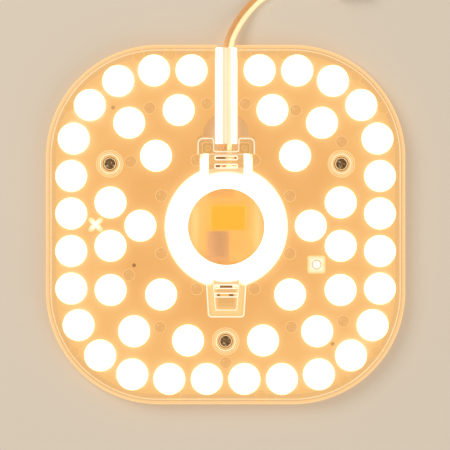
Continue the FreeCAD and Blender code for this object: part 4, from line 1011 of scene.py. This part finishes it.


# Painted shade where the vents show dark: middle and half size across, and the vent it shows in, in millimetres
VENT_SHADES = [
    (-2.5, 2.2, 33.2), (4.9, 0.4, 33.2), (-3.6, 1.0, 29.1),
    (1.9, 1.4, -30.9), (-4.0, 1.2, -35.1), (2.8, 1.1, -35.1),
]


def vent_shades():
    """Painted shade where the vents show dark: short dark bars under the slots."""
    x, half, y = np.array(VENT_SHADES).T * MM
    bars = np.stack([x, y, np.full_like(x, BOX_ROOF - 1.5 * MM)], axis=1)
    reach = np.stack([half, np.full_like(x, 0.55 * MM), np.full_like(x, 0.15 * MM)], axis=1)
    square = [(-1, -1), (1, -1), (1, 1), (-1, 1)]
    turns = np.array([(*corner, level) for level in (-1, 1) for corner in square])
    verts = bars[:, None] + reach[:, None] * turns
    sides = np.array([(0, 3, 2, 1), (4, 5, 6, 7), (0, 1, 5, 4), (1, 2, 6, 5), (2, 3, 7, 6), (3, 0, 4, 7)])
    faces = (sides[None] + (np.arange(len(bars)) * 8)[:, None, None]).reshape(-1, 4)
    shade_of = lit_solid("vent_painted_shade", "#6E4414", "#9A6A2C", 0.7, 2.0)
    return put("vent_shades", verts, faces, [shade_of], smooth=False)


def tunnel_pieces(wall, side_material, roof_material):
    """Two leaning side walls and a level roof between them."""
    made = []
    rise = np.linspace(0, 1, 7)
    along = np.linspace(TUNNEL_START_Y, TUNNEL_END_Y, 40)
    for side, name, thick in ((-1, "left", 2.1 * MM), (1, "right", wall)):
        outer = TUNNEL_BASE + (TUNNEL_ROOF_HALF - TUNNEL_BASE) * rise
        across = np.concatenate([outer, outer[::-1] - thick])
        height = PLATE_BACK + (TUNNEL_ROOF - PLATE_BACK) * np.concatenate([rise, rise[::-1]])
        x = np.broadcast_to((SPINE + side * across)[:, None], (len(across), len(along)))
        y = np.broadcast_to(along[None], x.shape)
        z = np.broadcast_to(height[:, None], x.shape)
        points = np.stack([x, y, z], axis=-1)
        up = np.repeat(np.concatenate([rise, rise[::-1]]), len(along))
        faces = quads(*x.shape, True, False)
        if side > 0:
            faces = faces[:, ::-1]
        start = np.arange(len(across)) * len(along)
        ends = [start, start + len(along) - 1]
        turned_end = 0 if side < 0 else 1
        ends[turned_end] = ends[turned_end][::-1]
        made.append(put(f"tunnel_wall_{name}", points, [*faces, *ends], [side_material], rise=up))
    inner = TUNNEL_ROOF_HALF - wall * 0.6
    strands = [
        (at_height(np.stack([np.full_like(along, SPINE + x), along], axis=1), TUNNEL_ROOF - 0.35 * MM), False)
        for x in (-0.2 * MM, 2.1 * MM)
    ]
    strand = lit_edge("polycarbonate_strand_lit", "#FFF6DE", 0.97)
    made.append(beads("tunnel_strands", strands, 0.4 * MM, strand))
    made.append(
        sheet_with_windows(
            "tunnel_roof", np.array([-1.0, 0.0, 1.0]), along, np.ones((2, len(along) - 1), bool), TUNNEL_ROOF,
            0.8 * MM, lambda y: inner + 0 * y, [roof_material]
        )
    )
    return made


def rings_at(places, sizes):
    """Outlines of circles at places: each size is a radius and a height."""
    around = np.linspace(0, 2 * math.pi, 64, endpoint=False)
    circle = np.stack([np.cos(around), np.sin(around)], axis=1)
    return [(at_height(place + radius * circle, height), True) for place in places for radius, height in sizes]


class LEDMODULE_OT_wells(bpy.types.Operator):
    """Screw wells with their collars"""

    bl_idname = "ledmodule.wells"
    bl_label = "Screw wells"

    def execute(self, context):
        clear = clear_sheet("polycarbonate_well_clear", "#F8C47C", 0.3, 0.92)
        line = lit_edge("polycarbonate_ring_bright", "#FFF0CC", 1.0)
        faint = lit_edge("polycarbonate_ring_faint", "#FFD9A0", 0.95)
        dark = lit_edge("polycarbonate_ring_shaded", "#5E3A14", 0.8)
        foot, top = BOARD_FACE + 0.1 * MM, PLATE_FACE + COLLAR_HEIGHT
        profile = [
            (WELL_BORE, foot), (WELL_RADIUS, foot), (WELL_RADIUS, PLATE_FACE), (COLLAR_RADIUS, PLATE_FACE),
            (COLLAR_RADIUS - 0.2 * MM, top), (WELL_BORE + 0.6 * MM, top),
            (WELL_BORE + 0.2 * MM, top - 0.3 * MM),
        ]
        collar = [(6.7 * MM, top - 0.2 * MM), (5.7 * MM, top - 0.1 * MM)]
        pieces = [
            turned("screw_wells", profile, SCREWS, [clear], steps=64, closed=True),
            beads("screw_well_lines", rings_at(SCREWS, [(4.75 * MM, top - 0.15 * MM)]), 0.28 * MM, line),
            # A dark ring of painted shade at the bore, and a faint ring of painted light round the screw head's
            # rim
            beads("screw_bore_lines", rings_at(SCREWS, [(3.35 * MM, BOARD_FACE + 3.0 * MM)]), 0.2 * MM, dark),
            beads("screw_head_lines", rings_at(SCREWS, [(2.9 * MM, BOARD_FACE + 2.6 * MM)]), 0.17 * MM, faint),
            beads("screw_collar_lines", rings_at(SCREWS, collar), 0.16 * MM, faint),
        ]
        return {"FINISHED"}


class LEDMODULE_OT_posts(bpy.types.Operator):
    """Snap posts that hold the cover on the board, lit up by the LEDs beside them"""

    bl_idname = "ledmodule.posts"
    bl_label = "Snap posts"

    def execute(self, context):
        low, high = BOARD_FACE + 0.1 * MM, PLATE_FACE + 0.12 * MM
        around = np.linspace(0, 2 * math.pi, 64, endpoint=False)
        base = rounded_square_ring(around, 4.5 * MM, 1.2 * MM)
        arms = 3.5 * MM + 1.3 * MM * np.cos(4 * (around - math.pi / 4))
        burst = np.stack([arms * np.cos(around), arms * np.sin(around)], axis=1)
        share = np.array([0.01, 1.0, 1.0, 0.8, 0.6, 0.4, 0.2, 0.01])
        height = np.array([low, low, high - 0.3 * MM, high, high, high, high, high])
        posts = (("snap_post_right", POST_RIGHT[0], base), ("snap_post_left", POST_LEFT[0], burst))
        for name, place, outline in posts:
            points = np.stack([at_height(place + s * outline, z) for s, z in zip(share, height)])
            across = np.repeat(np.where(height > low, share, 1.0), len(around))
            grid_surface(name, points, [lit_post()], closed_rows=True, closed_columns=True, across=across)
        ring = lit_edge("polycarbonate_post_ring", "#D8A25A", 0.9)
        circle = rings_at(POST_RIGHT, [(2.2 * MM, high + 0.1 * MM)])
        beads("snap_post_ring", circle, 0.2 * MM, ring)
        return {"FINISHED"}


class LEDMODULE_OT_pads(bpy.types.Operator):
    """Round pads that hold the plate off the board"""

    bl_idname = "ledmodule.pads"
    bl_label = "Support pads"

    def execute(self, context):
        places = np.concatenate([pad_places(), edge_pad_places()])
        low, high = BOARD_FACE + 0.15 * MM, PLATE_BACK + 0.02 * MM
        body = clear_sheet("polycarbonate_pad_shaded", "#E2A75E", 0.5, 0.9)
        faint = lit_edge("polycarbonate_pad_rim", "#F8C684", 0.92)
        pads = turned("support_pads", disc(PAD_RADIUS, low, high), places, [body], steps=32)
        rims = beads("support_pad_lines", rings_at(places, [(PAD_RADIUS, high)]), 0.15 * MM, faint)
        return {"FINISHED"}


class LEDMODULE_OT_board(bpy.types.Operator):
    """LED board with its lit solder mask, and the LEDs on it"""

    bl_idname = "ledmodule.board"
    bl_label = "LED board"

    def execute(self, context):
        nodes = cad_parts
        give(nodes["led_board"], lit_mask("board_laminate_lit"))
        for ring in ("outer", "inner"):
            package = lit_solid("led_package_ppa", "#FFF3D6", "#FFFFFF", 1.2, 1.0)
            phosphor = lit_solid("led_phosphor_silicone", "#FFE9A8", "#FFF6DA", 2.0, 0.4)
            give(nodes[f"led_packages_{ring}"], package)
            give(nodes[f"led_phosphors_{ring}"], phosphor)
        profile = disc(0.95 * MM, BOARD_FACE + 0.05 * MM, BOARD_FACE + 0.12 * MM)
        dark = lit_solid("hole_shade_dark", "#7A5220", "#8A6028", 0.6, 0.5)
        brown = lit_solid("hole_shade_brown", "#C08A3E", "#CC9648", 0.8, 0.5)
        pieces = [
            board_mask(),
            turned("pin_hole_shade", profile, SMALL_HOLES[:1], [dark], steps=24),
            turned("peg_hole_shades", profile, SMALL_HOLES[1:], [brown], steps=24),
        ]
        return {"FINISHED"}


def board_mask():
    """The mask layer on the board's face: rings from a circle under the dome to the board's rounded outline, a
    point being (1 - t) of the circle plus t of the outline. Its glow falls off with the way from each lens and
    from the dome's foot, and fades to none at the board's outline and round the opening for the lead."""
    angle = np.linspace(0, 2 * math.pi, 400, endpoint=False)
    share = np.linspace(0, 1, 64)[:, None, None]
    outline = rounded_square_ring(angle, BOARD_HIGH.x - 0.25 * MM, 51.15 * MM)
    circle = 12 * MM * np.stack([np.cos(angle), np.sin(angle)], axis=-1)
    plan_points = (1 - share) * circle + share * outline
    x, y = plan_points[..., 0], plan_points[..., 1]
    way = np.sqrt(((plan_points[..., None, :] - LENSES) ** 2).sum(axis=-1)) - 8.0 * MM
    near = np.exp(-np.maximum(way, 0) / (1.9 * MM)).max(axis=-1)
    centre = np.hypot(x - SPINE, y - DOME_Y)
    spill = np.exp(-np.maximum(centre - 31 * MM, 0) / (2.6 * MM))
    opening = np.minimum(
        np.hypot(x - SPINE, y - OPENING_Y) - OPENING_RADIUS,
        np.maximum(abs(x - SPINE) - OPENING_HALF, abs(y - OPENING_WIDE_Y) - OPENING_WIDE_HALF),
    )
    clear_of_opening = np.clip(opening / (2.5 * MM), 0, 1)
    clear_of_edge = np.clip((1 - share[..., 0]) * 30, 0, 1)
    glow = (0.3 * near + 0.32 * spill) * clear_of_opening * clear_of_edge
    verts = at_height(plan_points, BOARD_FACE + 0.03 * MM).reshape(-1, 3)
    faces = quads(*x.shape, False, True)
    off_opening = opening.ravel()[faces].min(axis=1) > 0
    middles = verts[faces].mean(axis=1)[:, None, :2]
    off_screws = np.sqrt(((middles - SCREWS) ** 2).sum(axis=-1)).min(axis=1) > 2.6 * MM
    faces = faces[off_opening & off_screws]
    return put("solder_mask", verts, faces, [lit_mask()], glow=glow.ravel())


def give(node, material):
    """Puts one material in all slots of a carried-over node."""
    if not node.material_slots:
        node.data.materials.append(material)
    for slot in node.material_slots:
        slot.link = "OBJECT"
        slot.material = material


class LEDMODULE_OT_driver(bpy.types.Operator):
    """The driver's parts under the dome in painted light: a matt colour and a glow for each"""

    bl_idname = "ledmodule.driver"
    bl_label = "Driver"

    def execute(self, context):
        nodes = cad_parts
        # Each colour and glow paints the warm LED light on the part, so white and grey parts show amber
        painted_light_colours = {
            "driver_tray": lit_solid("tray_pc_white", "#FFDC9A", "#FFE6AC", 0.9),
            "driver_board": lit_solid("driver_laminate_cem", "#F6BC68", "#FAC674", 0.9, 3.0),
            "transformer_bobbin": lit_solid("bobbin_phenolic", "#D89A3C", "#E4A848", 0.6),
            "transformer_core": lit_solid("core_ferrite", "#F4B040", "#F8B848", 0.85),
            "transformer_winding": lit_solid("tape_polyester_yellow", "#FFB000", "#FFB810", 0.92, 6.0, 0.3),
            "input_capacitor": lit_solid("sleeve_petp_grey", "#CC9870", "#D6A27A", 0.82, 4.0, 0.35),
            "output_capacitor": lit_solid("sleeve_petp_amber", "#F0AE62", "#F4B468", 0.85, 4.0, 0.35),
            "choke": lit_solid("choke_ferrite", "#F6B964", "#FAC26E", 0.86),
            "film_capacitor": lit_solid("film_case_epoxy", "#F0AA50", "#F6B45C", 0.8, 2.0, 0.3),
            "fuse_resistor": lit_solid("resistor_lacquer", "#C88A34", "#D89A44", 0.6, 2.0),
            "bridge_rectifier": lit_solid("rectifier_epoxy", "#9A6420", "#A87228", 0.45),
            "driver_chip": lit_solid("chip_epoxy", "#B07A30", "#BC8638", 0.5),
            "output_diode": lit_solid("diode_epoxy", "#C08A3C", "#CC9444", 0.5),
            "chip_resistors": lit_solid("resistor_ceramic", "#B8843C", "#C49044", 0.5),
        }
        for name, material in painted_light_colours.items():
            give(nodes[name], material)
        return {"FINISHED"}


class LEDMODULE_OT_fasteners(bpy.types.Operator):
    """Magnets, their screws and the connector"""

    bl_idname = "ledmodule.fasteners"
    bl_label = "Magnets, screws and connector"

    def execute(self, context):
        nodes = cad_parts
        give(nodes["magnet_cups"], plated_metal("steel_nickel_plated", "#C9C5BC", 0.22))
        give(nodes["magnet_discs"], plated_metal("magnet_neodymium", "#8E8C88", 0.3))
        give(nodes["magnet_screws"], screw_with_painted_glints())
        give(nodes["connector_housing"], plain_plastic("polyamide_white", "#E8E2D4", "#F2EEE2"))
        give(nodes["connector_clamps"], plated_metal("brass_bright", "#C8A050", 0.25))
        give(nodes["connector_screws"], plated_metal("steel_screw", "#B8B4AC", 0.3))
        return {"FINISHED"}


class LEDMODULE_PT_panel(bpy.types.Panel):
    """Lists the module's pieces in the sidebar"""

    bl_idname = "LEDMODULE_PT_panel"
    bl_label = "LED module"
    bl_space_type = "VIEW_3D"
    bl_region_type = "UI"
    bl_category = "LED module"

    def draw(self, context):
        for settings in (context.scene.led_cover, context.scene.led_glow, context.scene.led_stage):
            box = self.layout.box()
            for name in settings.__annotations__:
                box.prop(settings, name)
        for operator in OPERATORS:
            self.layout.operator(operator.bl_idname)


OPERATORS = (
    LEDMODULE_OT_stage,
    LEDMODULE_OT_supply_lead,
    LEDMODULE_OT_cover_shell,
    LEDMODULE_OT_lenses,
    LEDMODULE_OT_dome,
    LEDMODULE_OT_boxes,
    LEDMODULE_OT_wells,
    LEDMODULE_OT_posts,
    LEDMODULE_OT_pads,
    LEDMODULE_OT_board,
    LEDMODULE_OT_driver,
    LEDMODULE_OT_fasteners,
)
SETTINGS = (LedModuleCover, LedModuleGlow, LedModuleStage)


def register():
    for kind in (*SETTINGS, *OPERATORS, LEDMODULE_PT_panel):
        bpy.utils.register_class(kind)
    bpy.types.Scene.led_cover = PointerProperty(type=LedModuleCover)
    bpy.types.Scene.led_glow = PointerProperty(type=LedModuleGlow)
    bpy.types.Scene.led_stage = PointerProperty(type=LedModuleStage)


def unregister():
    del bpy.types.Scene.led_cover, bpy.types.Scene.led_glow, bpy.types.Scene.led_stage
    for kind in (LEDMODULE_PT_panel, *reversed(OPERATORS), *reversed(SETTINGS)):
        bpy.utils.unregister_class(kind)


def main():
    """Builds the scene."""
    register()
    for operator in OPERATORS:
        group, name = operator.bl_idname.split(".")
        getattr(getattr(bpy.ops, group), name)()
    bpy.context.view_layer.update()


if __name__ == "__main__":
    main()
